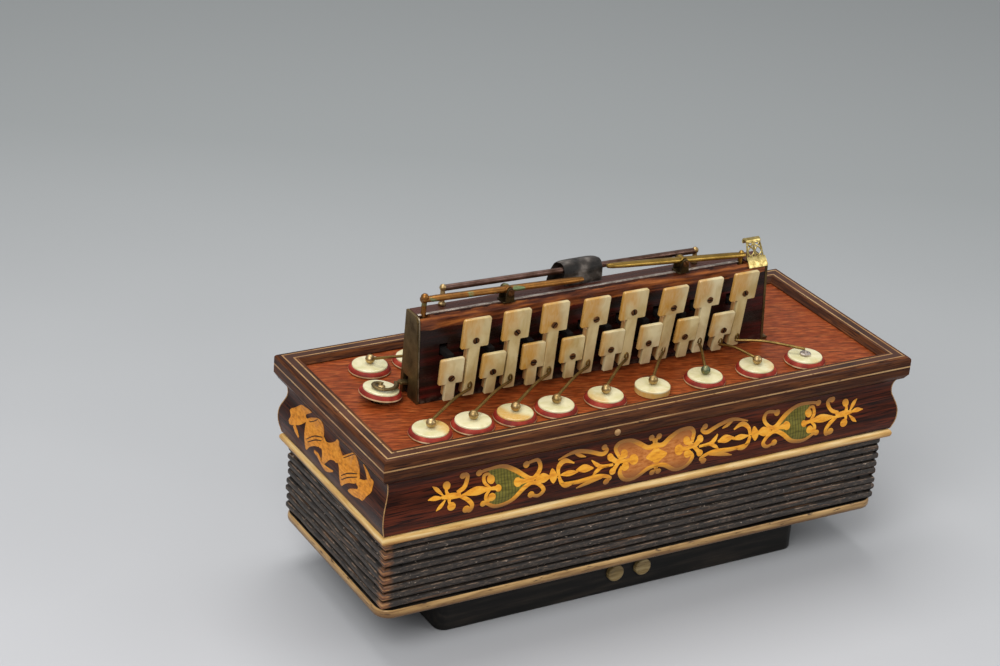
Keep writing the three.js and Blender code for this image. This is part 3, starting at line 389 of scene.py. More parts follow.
# %% Rosewood
def rosewood(name, tones, figure_mm, pore_mm, pore_colour, gloss, turn_degrees=0.0):
    material, _, figure, pores, rubbed = new_finish(
        name, Grain(figure_mm, 4, 0.62, 0.5, turn_degrees=turn_degrees),
        Grain(pore_mm, 2, turn_degrees=turn_degrees), Grain(24, 3))
    tone = add(material, "ValToRGB", {0: figure}, stops=zip((0.3, 0.45, 0.57, 0.72), tones))
    rough = add(material, "MapRange", {0: rubbed, 1: 0.35, 2: 0.7, 3: gloss - 0.08, 4: gloss + 0.14})
    return laid_up(material, tone, [(pores, 0.5, 0.66, 1, pore_colour)], (pores, 0.35, 0.05),
                   {"Roughness": rough, "Specular IOR Level": 0.12})


case_wood_x = rosewood("french_polished_rosewood_long_grain", ("#220D07", "#3C190D", "#562312", "#702F16"),
                       (70, 9, 3.2), (14, 1.4, 0.5), "#180805", 0.34)
# The end walls' veneer has its grain along them, and tones darker and browner than the front's: painted
# shade.
case_wood_y = rosewood("french_polished_rosewood_end_walls_painted_shade", ("#1C0D08", "#36190F", "#4C2414", "#60321C"),
                       (9, 70, 3.2), (1.4, 14, 0.5), "#160906", 0.34)
rim_tones, rim_pores = ("#2A140B", "#412313", "#583118", "#704122"), "#2E160C"
rim_wood_x = rosewood("rubbed_rosewood_rim_long_grain", rim_tones,
                      (60, 2.6, 2.6), (10, 0.8, 0.6), rim_pores, 0.4)
rim_wood_y = rosewood("rubbed_rosewood_rim_end_grain", rim_tones,
                      (2.6, 60, 2.6), (0.8, 10, 0.6), rim_pores, 0.4)
soundboard_wood = rosewood("striped_rosewood_soundboard", ("#6A2A0E", "#843A18", "#984A22", "#AC5E2E"),
                           (9, 1.5, 2), (6, 0.65, 1), "#5A280F", 0.36, 17)

# %% [markdown]
# The keyboard board is the same wood stained almost black, with its top front edge rubbed through to
# orange-red wood where fingers pass over it. The rub lies in a band just under the chamfer, so a mask is
# taken from the height above the floor and broken up by noise. Grey dust lies in the corner at its foot.

# %% Worn edge and dust on the board
RUB_FOOT_Z, RUB_HEAD_Z, RUB_FADE, RUB_WAVE, DUST_TOP_Z = 150.0, 156.7, 0.6, 3.6, 115.0


def worn_board():
    material, place, figure, ragged, bare_grain, specks = new_finish(
        "stained_rosewood_keyboard_rubbed_edge", Grain((60, 4, 4), 4, distortion=0.4),
        Grain((9, 3, 2.2), 4, 0.7), Grain((16, 2, 1.6), 4), Grain((3.2, 3.2, 2.2), 3))
    tone = add(material, "ValToRGB", {0: figure}, stops=[
        (0.36, "#150A07"), (0.5, "#22100C"), (0.62, "#38120E"), (0.74, "#5C1812")])
    bare = add(material, "ValToRGB", {0: bare_grain}, stops=[
        (0.34, "#401E12"), (0.5, "#6E3A20"), (0.68, "#A8622E")])
    height = add(material, "SeparateXYZ", {0: place}, 2)
    edge = add(material, "Math", {0: ragged, 1: RUB_WAVE * MM, 2: height}, operation="MULTIPLY_ADD")
    over_foot = add(material, "MapRange", {0: edge, 1: RUB_FOOT_Z * MM, 2: (RUB_FOOT_Z + RUB_FADE) * MM})
    under_head = add(material, "MapRange", {0: edge, 1: RUB_HEAD_Z * MM, 2: (RUB_HEAD_Z - RUB_FADE) * MM})
    rub = add(material, "Math", {0: over_foot, 1: under_head}, operation="MULTIPLY")
    low = add(material, "MapRange", {0: height, 1: DUST_TOP_Z * MM, 2: (SOUNDBOARD_Z + 0.5) * MM})
    speck = add(material, "MapRange", {0: specks, 1: 0.42, 2: 0.7, 4: 0.6})
    dust = add(material, "Math", {0: low, 1: speck}, operation="MULTIPLY")
    rough = add(material, "MapRange", {0: ragged, 1: 0.3, 2: 0.7, 3: 0.2, 4: 0.38})
    top = (height, (BOARD_TOP - 0.25) * MM, (BOARD_TOP - 0.05) * MM, 1, "#4E2C22")
    layers = [(rub, 0, 1, 1, bare), top, (dust, 0, 1, 1, "#6A5648")]
    return laid_up(material, tone, layers, (ragged, 0.3, 0.1), {
        "Roughness": rough, "Specular IOR Level": 0.2})


board_finish = worn_board()

# %% [markdown]
# Brass of this age is brown-yellow with a dull skin, and bright only where hands touch it. A metal has no
# colour but that of its reflection, so the base colour carries the skin: two tones mixed by noise, with a
# roughness that follows the same noise. Verdigris, the green skin, grows in a few spots.

# %% Brass and steel
def metal(name, dull, bright, patch_mm, rough_bright, rough_dull, green=0.0):
    material, _, patches, grit, *spots = new_finish(
        name, Grain(patch_mm, 5, 0.65), Grain(1, 2), *[Grain((7, 5, 4), 2)] * bool(green))
    skin = add(material, "ValToRGB", {0: patches}, stops=[(0.34, dull), (0.64, bright)])
    rough = add(material, "MapRange", {0: patches, 1: 0.3, 2: 0.7, 3: rough_dull, 4: rough_bright})
    verdigris = [(spot, 0.66 - green, 0.74 - green, 1, "#7C8C62") for spot in spots]
    return laid_up(material, skin, verdigris, (grit, 0.1, 0.03), {"Metallic": 1.0, "Roughness": rough})


wire_brass = metal("tarnished_brass_wire", "#6A552E", "#9A7C46", 6, 0.34, 0.52)
ball_brass = metal("rubbed_brass_ball", "#94794A", "#C8AC7C", 4, 0.36, 0.5)
green_brass = metal("verdigris_brass_ball", "#54705E", "#9C8C5C", 3, 0.4, 0.6)
bronze_lever = metal("browned_brass_lever", "#6E4826", "#A8743A", 9, 0.32, 0.5, 0.09)
yellow_lever = metal("rubbed_brass_lever", "#7A5E28", "#AE8C46", 9, 0.3, 0.46)
fret_brass = metal("cast_brass_fret", "#8A7238", "#E4CE88", 2.5, 0.26, 0.42)
plate_brass = metal("tarnished_sheet_brass", "#4E3E26", "#7E6A46", 9, 0.42, 0.62)
black_brass = metal("blackened_brass_bracket", "#2A2016", "#5A4A30", 3, 0.4, 0.6)
# Bright sheet brass for the bead along the left end plate's front edge: a painted highlight.
highlight_brass = metal("painted_highlight_on_sheet_brass_edge", "#5C503C", "#9A8C74", 5, 0.4, 0.55)
grey_strip = metal("tarnished_white_metal_strip", "#80746A", "#E2D6CA", 5, 0.4, 0.55)
dark_screw = metal("browned_iron_screw", "#4A2E1C", "#7C5636", 2, 0.4, 0.6)
pin_steel = metal("drawn_steel_wire", "#5F5C57", "#9C9890", 4, 0.25, 0.4)
reed_brass = metal("milled_brass_reed_plate", "#9B8140", "#C9AC5E", 12, 0.25, 0.4)
rail_bronze = metal("browned_brass_rail", "#4A3428", "#80645A", 10, 0.3, 0.46)

# %% [markdown]
# The bead under the case and the edge of the bottom board are gilt: a warm, pale skin on wood, rubbed so
# that brown shows in spots. Towards the foot of each round the colour turns browner: painted shade on its
# lower side. It is so old that it shines like satin more than like metal, so it is a plain colour with a
# soft gloss. The lines let into the rim are bare boxwood.

# %% Gilding and boxwood lines
FOOT_WAVE = 1.6


def gilding(name, tones, brown, wear, speck_mm, foot_z=0.0, head_z=0.0, painted_shade_colour=""):
    """Between head_z and foot_z the colour of the painted shade on the round's lower part takes over, along a
    line that waves up and down.
    """
    material, place, along, specks = new_finish(
        name, Grain((26, 26, 1.6), 4, 0.6), Grain((speck_mm, speck_mm, 1.2), 4, 0.6))
    tone = add(material, "ValToRGB", {0: along}, stops=zip((0.34, 0.5, 0.66), tones))
    layers = [(specks, 0.72 - wear, 0.8 - wear, 1, brown)]
    if painted_shade_colour:
        height = add(material, "SeparateXYZ", {0: place}, 2)
        wavy = add(material, "Math", {0: along, 1: FOOT_WAVE * MM, 2: height}, operation="MULTIPLY_ADD")
        low, high = ((z + FOOT_WAVE / 2) * MM for z in (foot_z, head_z))
        layers.append((wavy, high, low, 1, painted_shade_colour))
    return laid_up(material, tone, layers, (specks, 0.3, 0.06), {"Metallic": 0.15, "Roughness": 0.38})


# The last colour of the bead and of the board edge is painted shade on the lower part of the round.
bead_gilding = gilding("gilt_bead", ("#C8974E", "#E2B870", "#F0D298"), "#8A6030", 0.04, 4,
                       66.8, 69.6, "#9C6428")
edge_gilding = gilding("rubbed_gilt_board_edge_with_painted_shade", ("#86633A", "#B08A54", "#C8A26A"), "#4E3520", 0.14, 7,
                       24.6, 27.6, "#6A4A2A")
stringing = gilding("boxwood_stringing", ("#8C6238", "#A97E4C", "#C09A66"), "#5E3A20", 0.12, 5)
button_gilding = gilding("rubbed_brass_button", ("#66542C", "#8A7244", "#A89264"), "#3A2E1A", 0.1, 2)

# %% [markdown]
# Mother-of-pearl is cut from shell: cream, greyer or greener where its layers surface, and amber towards
# the shell's edge. Large soft clouds give the shades, a fine wave gives the silk of the layers, and the
# polish gives a clear gloss. Each key is cut from its own place in the shell, so its amber edge has its
# own strength. On the keys the amber always lies on the left side, the side seen from the left front: it
# is partly the pearl's own edge colour and partly painted shade.

# %% Mother-of-pearl
def shell(name, body_tone, pale, amber, cloud_mm, amber_share):
    material, _, clouds, blots, silk = new_finish(
        name, Grain(cloud_mm, 3, distortion=0.6), Grain((9, 9, 13), 2, shift=(3.1, 1.7, 0.4)),
        Grain((1.2, 1.2, 6), 3, distortion=1.2))
    tone = add(material, "ValToRGB", {0: clouds}, stops=[(0.36, body_tone), (0.6, pale)])
    edge = add(material, "Attribute", attribute_name="amber", out="Fac")
    blot = add(material, "Math", {0: blots, 1: 0.9, 2: edge}, operation="MULTIPLY_ADD")
    layers = [(blot, 0.92 - amber_share, 1.3 - amber_share, 0.9, amber), (silk, 0.35, 0.65, 0.22, pale)]
    return laid_up(material, tone, layers, (clouds, 0.3, 0.06), {
        "Roughness": 0.22, "Specular IOR Level": 0.55, "Coat Weight": 0.25, "Coat Roughness": 0.08})


key_pearl = shell("olive_mother_of_pearl_key", "#B49A62", "#CDB988", "#BC8630", (9, 9, 16), 0.12)
amber_pearl = shell("amber_mother_of_pearl_key", "#B09664", "#CBB686", "#BC8630", (9, 9, 14), 0.3)
pale_pearl = shell("pale_mother_of_pearl_key", "#BEA878", "#D8C89C", "#BC8C44", (9, 9, 16), 0.08)
pallet_pearl = shell("pale_mother_of_pearl_disc", "#CFC694", "#E3DAB2", "#CC9A3E", (8, 8, 8), 0.1)

# %% [markdown]
# The pallets are a sandwich: a pearl disc, a washer of red-dyed leather and a pad of cream sheepskin that
# seals the hole. Leather has a fine pebbled grain with creases; the dye has faded unevenly. The thumb strap
# is the same stuff dyed black and gone grey on its folds.

# %% Leathers
def leather(name, tones, grain_mm, roughness, depth_mm):
    material, place, patches = new_finish(name, Grain(6, 4))
    tone = add(material, "ValToRGB", {0: patches}, stops=zip((0.35, 0.52, 0.7), tones))
    pebble_place = add(material, "Mapping", {0: place, "Scale": per_mm(grain_mm)})
    pebbles = add(material, "TexVoronoi", {0: pebble_place, "Scale": 1.0})
    return laid_up(material, tone, [], (pebbles, 0.5, depth_mm), {
        "Roughness": roughness, "Specular IOR Level": 0.25})


red_leather = leather("red_dyed_sheepskin", ("#6C180C", "#8A2616", "#A63E28"), 0.7, 0.6, 0.08)
cream_leather = leather("undyed_sheepskin_pad", ("#B08A62", "#CFAE82", "#E0C8A2"), 0.7, 0.65, 0.08)
black_leather = leather("black_leather_thumb_strap", ("#1C1916", "#3A342F", "#6A625B"), 0.9, 0.5, 0.16)

# %% [markdown]
# The bellows are folded card, covered with black paper and edged with thin leather strips. Each fold shows
# a flattened ridge, rubbed grey-brown along its crest, and the corners have leather gussets that have worn
# to a rusty tan, most at the front. A pale line along each fold's upper edge is partly rubbed wear and partly
# a painted highlight, and the gaps between the folds are painted near black, which is painted shade. The
# mesh carries three values for this: how near a point is to the crest of its fold, how near to a worn
# corner, and how near to the pale line along a fold's upper edge.

# %% Bellows covering
def bellows_covering():
    material, _, fibres, scuffs, streaks, breaks, flecks = new_finish(
        "black_bellows_paper_and_leather", Grain((11, 11, 0.8), 4, 0.7), Grain((3.4, 3.4, 1.1), 4, 0.72),
        Grain((34, 34, 0.9), 4), Grain((7, 7, 2), 5, 0.75), Grain((1.9, 1.9, 0.8), 2))
    crest, corner, rim = (
        add(material, "Attribute", attribute_name=name, out="Fac") for name in ("crest", "corner", "rim"))
    ground = add(material, "ValToRGB", {0: fibres}, stops=[
        (0.3, "#120E0A"), (0.48, "#241D17"), (0.62, "#352B22"), (0.76, "#4A3D32")])
    tan = add(material, "ValToRGB", {0: fibres}, stops=[
        (0.38, "#241710"), (0.5, "#7A4A28"), (0.66, "#B08250")])
    ragged = add(material, "Math", {0: scuffs, 1: 0.55, 2: corner}, operation="MULTIPLY_ADD")
    worn = add(material, "MapRange", {0: ragged, 1: 0.82, 2: 1.05})
    rubbed, line, worn_crest = (
        add(material, "Math", {0: first, 1: second}, operation="MULTIPLY")
        for first, second in ((scuffs, crest), (breaks, rim), (worn, crest)))
    # The pale upper-edge line is partly rubbed wear and partly a painted highlight; the last layer paints the
    # gaps between the folds near black, as painted shade.
    layers = [(rubbed, 0.5, 0.64, 0.8, "#64564A"), (streaks, 0.62, 0.7, 0.75, "#6E4A2C"),
              (line, 0.42, 0.58, 0.9, "#8E7560"), (flecks, 0.7, 0.76, 1, "#B5A392"),
              (worn_crest, 0, 1, 1, tan), (crest, 0.34, 0, 1, "#070605")]
    rough = add(material, "MapRange", {0: scuffs, 1: 0.3, 2: 0.7, 3: 0.4, 4: 0.68})
    return laid_up(material, ground, layers, (scuffs, 0.55, 0.4), {"Roughness": rough})


bellows_finish = bellows_covering()

# %% [markdown]
# The plinth is plain wood stained black, called ebonised, rubbed brownish at its edges. Marquetry is pale
# boxwood let into the rosewood. Some of it is stained green or cut from an orange wood, and the scrolls are
# shaded by dipping their ends in hot sand, which browns the parts that lie away from the middle of the wall.

# %% Ebonised wood, marquetry woods and pine
SHADED_FROM_Z, SHADED_WAVE = 85.6, 6.0


def plain_wood(name, tones, grain_mm, roughness, shaded="", wave_mm=0.0):
    """Wood with a plain grain, with wavy dark lines at a spacing, or shaded with a colour at the ends."""
    material, place, grain = new_finish(name, Grain(grain_mm, 4, 0.6))
    tone = add(material, "ValToRGB", {0: grain}, stops=zip((0.33, 0.5, 0.68), tones))
    layers = []
    if wave_mm:
        wave = {0: place, "Scale": 0.314 / (wave_mm * MM), "Distortion": 1.2, "Detail": 1.0}
        lines = add(material, "TexWave", wave, 1, bands_direction="X")
        layers.append((lines, 0.4, 0, 0.6, "#2E2A12"))
    if shaded:
        height = add(material, "SeparateXYZ", {0: place}, 2)
        above = add(material, "Math", {0: height, 1: SHADED_FROM_Z * MM}, operation="SUBTRACT")
        away = add(material, "Math", {0: above}, operation="ABSOLUTE")
        ragged = add(material, "Math", {0: grain, 1: SHADED_WAVE * MM, 2: away}, operation="MULTIPLY_ADD")
        layers.append((ragged, 7.6 * MM, 12.6 * MM, 0.85, shaded))
    return laid_up(material, tone, layers, (grain, 0.3, 0.05), {
        "Roughness": roughness, "Specular IOR Level": 0.22})


ebonised = plain_wood("ebonised_pearwood", ("#0C0B09", "#171411", "#2A241E"), (40, 3, 3), 0.4)
boxwood = plain_wood("sand_shaded_boxwood_inlay", ("#D28424", "#EEA22C", "#F6B440"), (5, 5, 1.4), 0.4,
                     "#8A5C34")
orange_wood = plain_wood("padauk_inlay", ("#A45A22", "#C07434", "#D08848"), (3, 3, 1.0), 0.4, "#8C5428")
scroll_wood = plain_wood("engraved_end_scroll_inlay", ("#AE6A1C", "#D68624", "#E49A34"), (3, 3, 1.2), 0.4)
green_wood = plain_wood("green_stained_holly_inlay", ("#565016", "#6E6624", "#7C7430"), (8, 8, 1), 0.42,
                        wave_mm=1.7)
ink = plain_wood("engraved_line_filled_with_ink", ("#1C0F08", "#2C180C", "#3C2414"), 2, 0.5)
band_wood = plain_wood("dark_rosewood_banding", ("#2C170C", "#46281A", "#5C3824"), (50, 50, 1.5), 0.38)
pine = plain_wood("planed_pine_reed_pan", ("#A87B4A", "#BE9260", "#CFA878"), (45, 3, 3), 0.6)
lever_wood = plain_wood("stained_beech_key_bar", ("#8E6238", "#B08250", "#C49A68"), (2, 2, 16), 0.42)
# Near black for the key lugs and the floors of the key screws' slots: painted shade in the board's slots and
# in the screw slots.
painted_shade_black = plain_wood("near_black_painted_shade_lug_and_slot", ("#090504", "#0E0907", "#161009"), (3, 3, 6), 0.95)
print("materials", len(bpy.data.materials))

# %% [markdown]
# The case has three parts that a cabinet maker would run with moulding planes: an ogee wall, a projecting
# top moulding with inlaid lines, and a half-round gilt bead at its foot. Each is one section carried round
# the rectangle and mitred at the corners, as the real lengths of moulding are. A thin pale line is let
# into each mitre of the wall, along the same section.

# %% Ogee walls
def bezier(start, first_pull, second_pull, end, steps):
    """Cubic curve: a mixture of four points whose shares are the terms of (1 - t + t) cubed."""
    t = np.linspace(0, 1, steps)[:, None]
    a, b, c, d = (np.asarray(p, float) for p in (start, first_pull, second_pull, end))
    return (1 - t) ** 3 * a + 3 * t * (1 - t) ** 2 * b + 3 * t**2 * (1 - t) * c + t**3 * d


def side_slots(sides, kinds):
    """Wood faces take slot 0 on the long sides and 1 on the short ones; other kinds keep their own slot."""
    kinds = np.asarray(kinds)[:, None]
    return np.where(kinds == 0, (sides % 2)[None], kinds)


WALL_DEPTH, WALL_TONGUE, MITRE_LINE_RADIUS = 12.0, 4.9, 0.27
cove = bezier([1.0, 29.9], [-2.0, 29.9], [-3.0, 26.4], [-3.0, 22.8], 12)
shoulder = bezier([-3.0, 22.8], [-3.0, 18.3], [0.4, 16.0], [0.4, 9.2], 14)
hip = bezier([0.4, 9.2], [0.4, 4.6], [-0.74, 2.3], [-1.3, 0.0], 9)
wall_face = np.concatenate([cove, shoulder[1:], hip[1:]]) + [0, WALL_Z]
hidden_side = [[-WALL_DEPTH, WALL_Z], [-WALL_DEPTH, WALL_TOP + WALL_TONGUE], [-2, WALL_TOP + WALL_TONGUE],
               [-2, WALL_TOP]]
wall_section = np.concatenate([hidden_side, wall_face])
case_path = mitred_path(HALF_LENGTH, HALF_WIDTH, 6)
walls = swept(wall_section, case_path, side_slots(case_path[2], np.zeros(len(wall_section), int)))
make_piece("ogee_walls", [walls], [case_wood_x, case_wood_y], "case",
           ("wall_front", "wall_right", "wall_back", "wall_left"), sharp_degrees=30)
mitres = []
for x_sign, y_sign in CORNERS:
    out = wall_face[:, :1] + np.array([HALF_LENGTH, HALF_WIDTH])
    line = np.concatenate([out * [x_sign, y_sign], wall_face[:, 1:]], axis=1)
    mitres.append(wire(line[1:], MITRE_LINE_RADIUS, 6, up=(y_sign, -x_sign, 0)))
make_piece("wall_mitre_lines", mitres, [stringing], "case")
print("ogee wall section", len(wall_section), "points")

# %% [markdown]
# The top moulding carries two pale lines on its flat top, a third on its face, and a dark band between.
# They are let in flush, so they are faces of the same section that take another material.

# %% Top moulding with stringing
VENEER, LINE, BAND = 0, 2, 3
MOULDING_FOOT_Z, REBATE_Z, FACE_OUT = WALL_TOP + 0.3, SOUNDBOARD_Z + 0.3, 2.6
round_over = bezier([FACE_OUT, 112.2], [FACE_OUT, 113.1], [1.7, RIM_Z], [0.8, RIM_Z], 7)
moulding_rows = [
    ((-1.7, REBATE_Z), VENEER), ((-1.7, MOULDING_FOOT_Z), VENEER), ((1.1, MOULDING_FOOT_Z), VENEER),
    ((FACE_OUT, 104.2), VENEER), ((FACE_OUT, 108.3), LINE), ((FACE_OUT, 109.1), VENEER),
    *[((out, z), VENEER) for out, z in round_over], ((0.1, RIM_Z), LINE), ((-0.7, RIM_Z), BAND),
    ((-4.3, RIM_Z), LINE), ((-5.1, RIM_Z), VENEER), ((-6.5, RIM_Z), VENEER), ((-7.2, 113.2), VENEER),
    ((-8.3, 111.9), VENEER), ((-9.0, 111.3), VENEER), ((-9.0, REBATE_Z), VENEER),
]
moulding_section = [point for point, _ in moulding_rows]
moulding_kinds = [kind for _, kind in moulding_rows]
moulding = swept(moulding_section, case_path, side_slots(case_path[2], moulding_kinds))
make_piece("inlaid_top_moulding", [moulding], [rim_wood_x, rim_wood_y, stringing, band_wood], "case",
           ("top_moulding",), sharp_degrees=30)

# %% [markdown]
# Below the walls runs the gilt bead. The board under the bellows has a full round edge, also gilt, which
# has rubbed through to brown in spots; both rounds are painted browner on their lower part, which is
# painted shade. Both are made by the same sweep, the lower one round soft corners.

# %% Gilt bead and bottom board
bead_turn = np.linspace(-np.pi / 2, np.pi / 2, 14)
bead_half = (BEAD_TOP - BEAD_Z) / 2
bead_round = arc(bead_turn, (2.7, bead_half), (-3.0, BEAD_Z + bead_half))
bead_section = np.concatenate([[[-WALL_DEPTH, BEAD_Z]], bead_round, [[-WALL_DEPTH, BEAD_TOP]]])
bead = swept(bead_section, mitred_path(HALF_LENGTH, HALF_WIDTH, 8))
make_piece("gilt_bead", [bead], [bead_gilding], "case", ("bead_trim",))

edge_turn = np.linspace(-np.pi / 2, np.pi / 2, 12)[:, None]
middle_z, half_thick = (BOTTOM_BOARD_Z + BOTTOM_BOARD_TOP) / 2, (BOTTOM_BOARD_TOP - BOTTOM_BOARD_Z) / 2
bottom_path = rounded_path(HALF_LENGTH - 2.6, HALF_WIDTH - 2.6, 8, 10, 8)
edge_offset = -1.6 + 1.6 * np.cos(edge_turn) ** 0.6
bottom_grid = carried_round(bottom_path, edge_offset, middle_z + half_thick * np.sin(edge_turn))
edge_slots = np.ones((len(edge_turn) - 1, 1), int)
edge_slots[1:-1] = 0
make_piece("bottom_board_gilt_edge", [body_of(bottom_grid, edge_slots)], [edge_gilding, ebonised], "base",
           ("bottom_board",))

# %% [markdown]
# Eight folds of the bellows lie nearly shut. The section is worked out fold by fold: between two tight
# gaps the card makes a broad, flattened ridge, with a pale line near its upper edge that is partly rubbed
# wear and partly a painted highlight. Handmade folds are never straight, so slow waves along the length
# push each one in and out and up and down a little.

# %% Bellows
FOLDS, FOLD_ROWS, BELLOWS_DEPTH = 8, 14, 14.0
GAP_OFFSET, RIDGE_OUT, SWAY, LIFT, WEAR_REACH = -7.6, 4.1, 0.34, 0.36, 13.0
bellows_rng = np.random.default_rng(7)
bellows_path = rounded_path(HALF_LENGTH, HALF_WIDTH, 4.5, 90, 9)
phase = np.linspace(-1, 1, FOLD_ROWS, endpoint=False) + 1 / FOLD_ROWS
ridge = np.tile((1 - np.abs(phase) ** 3.4) ** 0.62, FOLDS)
fold = np.repeat(np.arange(FOLDS), FOLD_ROWS)
fold_share = (fold + 0.5 + 0.5 * np.tile(phase, FOLDS)) / FOLDS
around = np.arange(len(bellows_path[0])) / len(bellows_path[0])
waves = np.arange(2, 24)
push = bellows_rng.normal(0, 1, (FOLDS, len(waves))) / waves**0.7
shift = bellows_rng.uniform(0, 2 * np.pi, (FOLDS, len(waves)))
way_round, shift = 2 * np.pi * waves[None, :, None] * around, shift[:, :, None]
sway = (push[:, :, None] * np.sin(way_round + shift)).sum(1)
lift = (push[:, :, None] * np.cos(way_round + 2 * shift)).sum(1)
fold_offset = GAP_OFFSET + RIDGE_OUT * ridge[:, None] + SWAY * (sway[fold] - 0.5) * ridge[:, None]
fold_z = BELLOWS_Z + (BELLOWS_TOP - BELLOWS_Z) * fold_share[:, None]
fold_z = fold_z + LIFT * lift[fold] * np.sin(np.pi * fold_share)[:, None]
inner = carried_round(bellows_path, -BELLOWS_DEPTH, np.array([[BELLOWS_TOP], [BELLOWS_Z]]))
bellows_grid = np.concatenate([carried_round(bellows_path, fold_offset, fold_z), inner])
corner_wear = np.array([[1.0], [0.62], [0.6], [0.55]])
corner_gap = np.linalg.norm(bellows_path[0][None] - CORNERS[:, None] * [HALF_LENGTH, HALF_WIDTH], axis=2)
corner_value = (corner_wear * np.clip(1.25 - corner_gap / WEAR_REACH, 0, 1)).max(0)
crest_value = np.append(ridge, [0, 0]) ** 2
rim_value = np.append(np.tile(np.exp(-(((phase - 0.62) / 0.2) ** 2)), FOLDS), [0, 0])
bellows_values = {"crest": crest_value[:, None], "corner": corner_value[None], "rim": rim_value[:, None]}
bellows_values = {key: np.broadcast_to(value, bellows_grid.shape[:2]).reshape(-1)
                  for key, value in bellows_values.items()}
bellows = make_piece("folded_bellows", [body_of(bellows_grid, 0, closed_rows=True)], [bellows_finish], None,
                     ("bellows",), 60, bellows_values)
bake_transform(bellows)
print("bellows faces", len(bellows.data.polygons))

# %% [markdown]
# Marquetry is cut from thin veneer and let in flush. Here each bit is a thin body that follows the wall's
# ogee: a point is given by its place along the wall, its height above a middle line and its depth, and the
# wall's own section tells how far out that is. A scroll is a stroke whose width changes along a curve, and
# a filled field is a set of shrinking copies of its outline. The left half is drawn, and the right mirrored.

# %% Marquetry laid on the ogee
INLAY_Z, INLAY_MIDDLE, LET_IN = 85.4, 0.6, -0.3


def on_wall(end, along, above, proud):
    """Puts points on a wall: its section gives the way out at each height. End: -1 left, 0 front, 1 right."""
    z = INLAY_Z + above
    out = np.interp(z, wall_face[::-1, 1], wall_face[::-1, 0]) + proud
    if end:
        return np.stack([end * (HALF_LENGTH + out), along, z], axis=-1)
    return np.stack([along, -HALF_WIDTH - out, z], axis=-1)


def stroke(points, end=0, proud=0.22, slot=0):
    """A ribbon on the wall: a curve through (along, above, width), its edges half a width to either side."""
    curve = spline(points, 6 * len(points))
    step = unit(np.gradient(curve[:, :2], axis=0))
    side = np.stack([-step[:, 1], step[:, 0]], axis=1) * np.maximum(curve[:, 2:], 0.1) / 2
    across = np.array([-1, -1, -0.9, 0, 0.9, 1, 1, 0])
    softened = proud - 0.08
    rise = np.array([LET_IN, softened, proud, proud, proud, softened, LET_IN, LET_IN])
    flat = curve[:, None, :2] + across[None, :, None] * side[:, None]
    return body_of(on_wall(end, *np.moveaxis(flat, 2, 0), rise), slot)


def field(outline, centre, end=0, proud=0.16, slot=0, steps=6):
    """A filled patch: copies of a closed curve shrink to its centre, on the wall and again just under it."""
    curve = spline(outline, steps * len(outline), closed=True)
    share = np.array([0.02, 0.2, 0.4, 0.6, 0.8, 1.0, 1.0, 0.02])[:, None, None]
    rise = np.array([proud] * 6 + [LET_IN] * 2)[:, None]
    flat = np.asarray(centre) + share * (curve[None] - centre)
    return body_of(on_wall(end, *np.moveaxis(flat, 2, 0), rise), slot)


def spot(along, above, radius, end=0, proud=0.24, slot=0):
    circle = arc(2 * np.pi * np.arange(10) / 10, radius, (along, above))
    return field(circle, (along, above), end, proud, slot, 2)


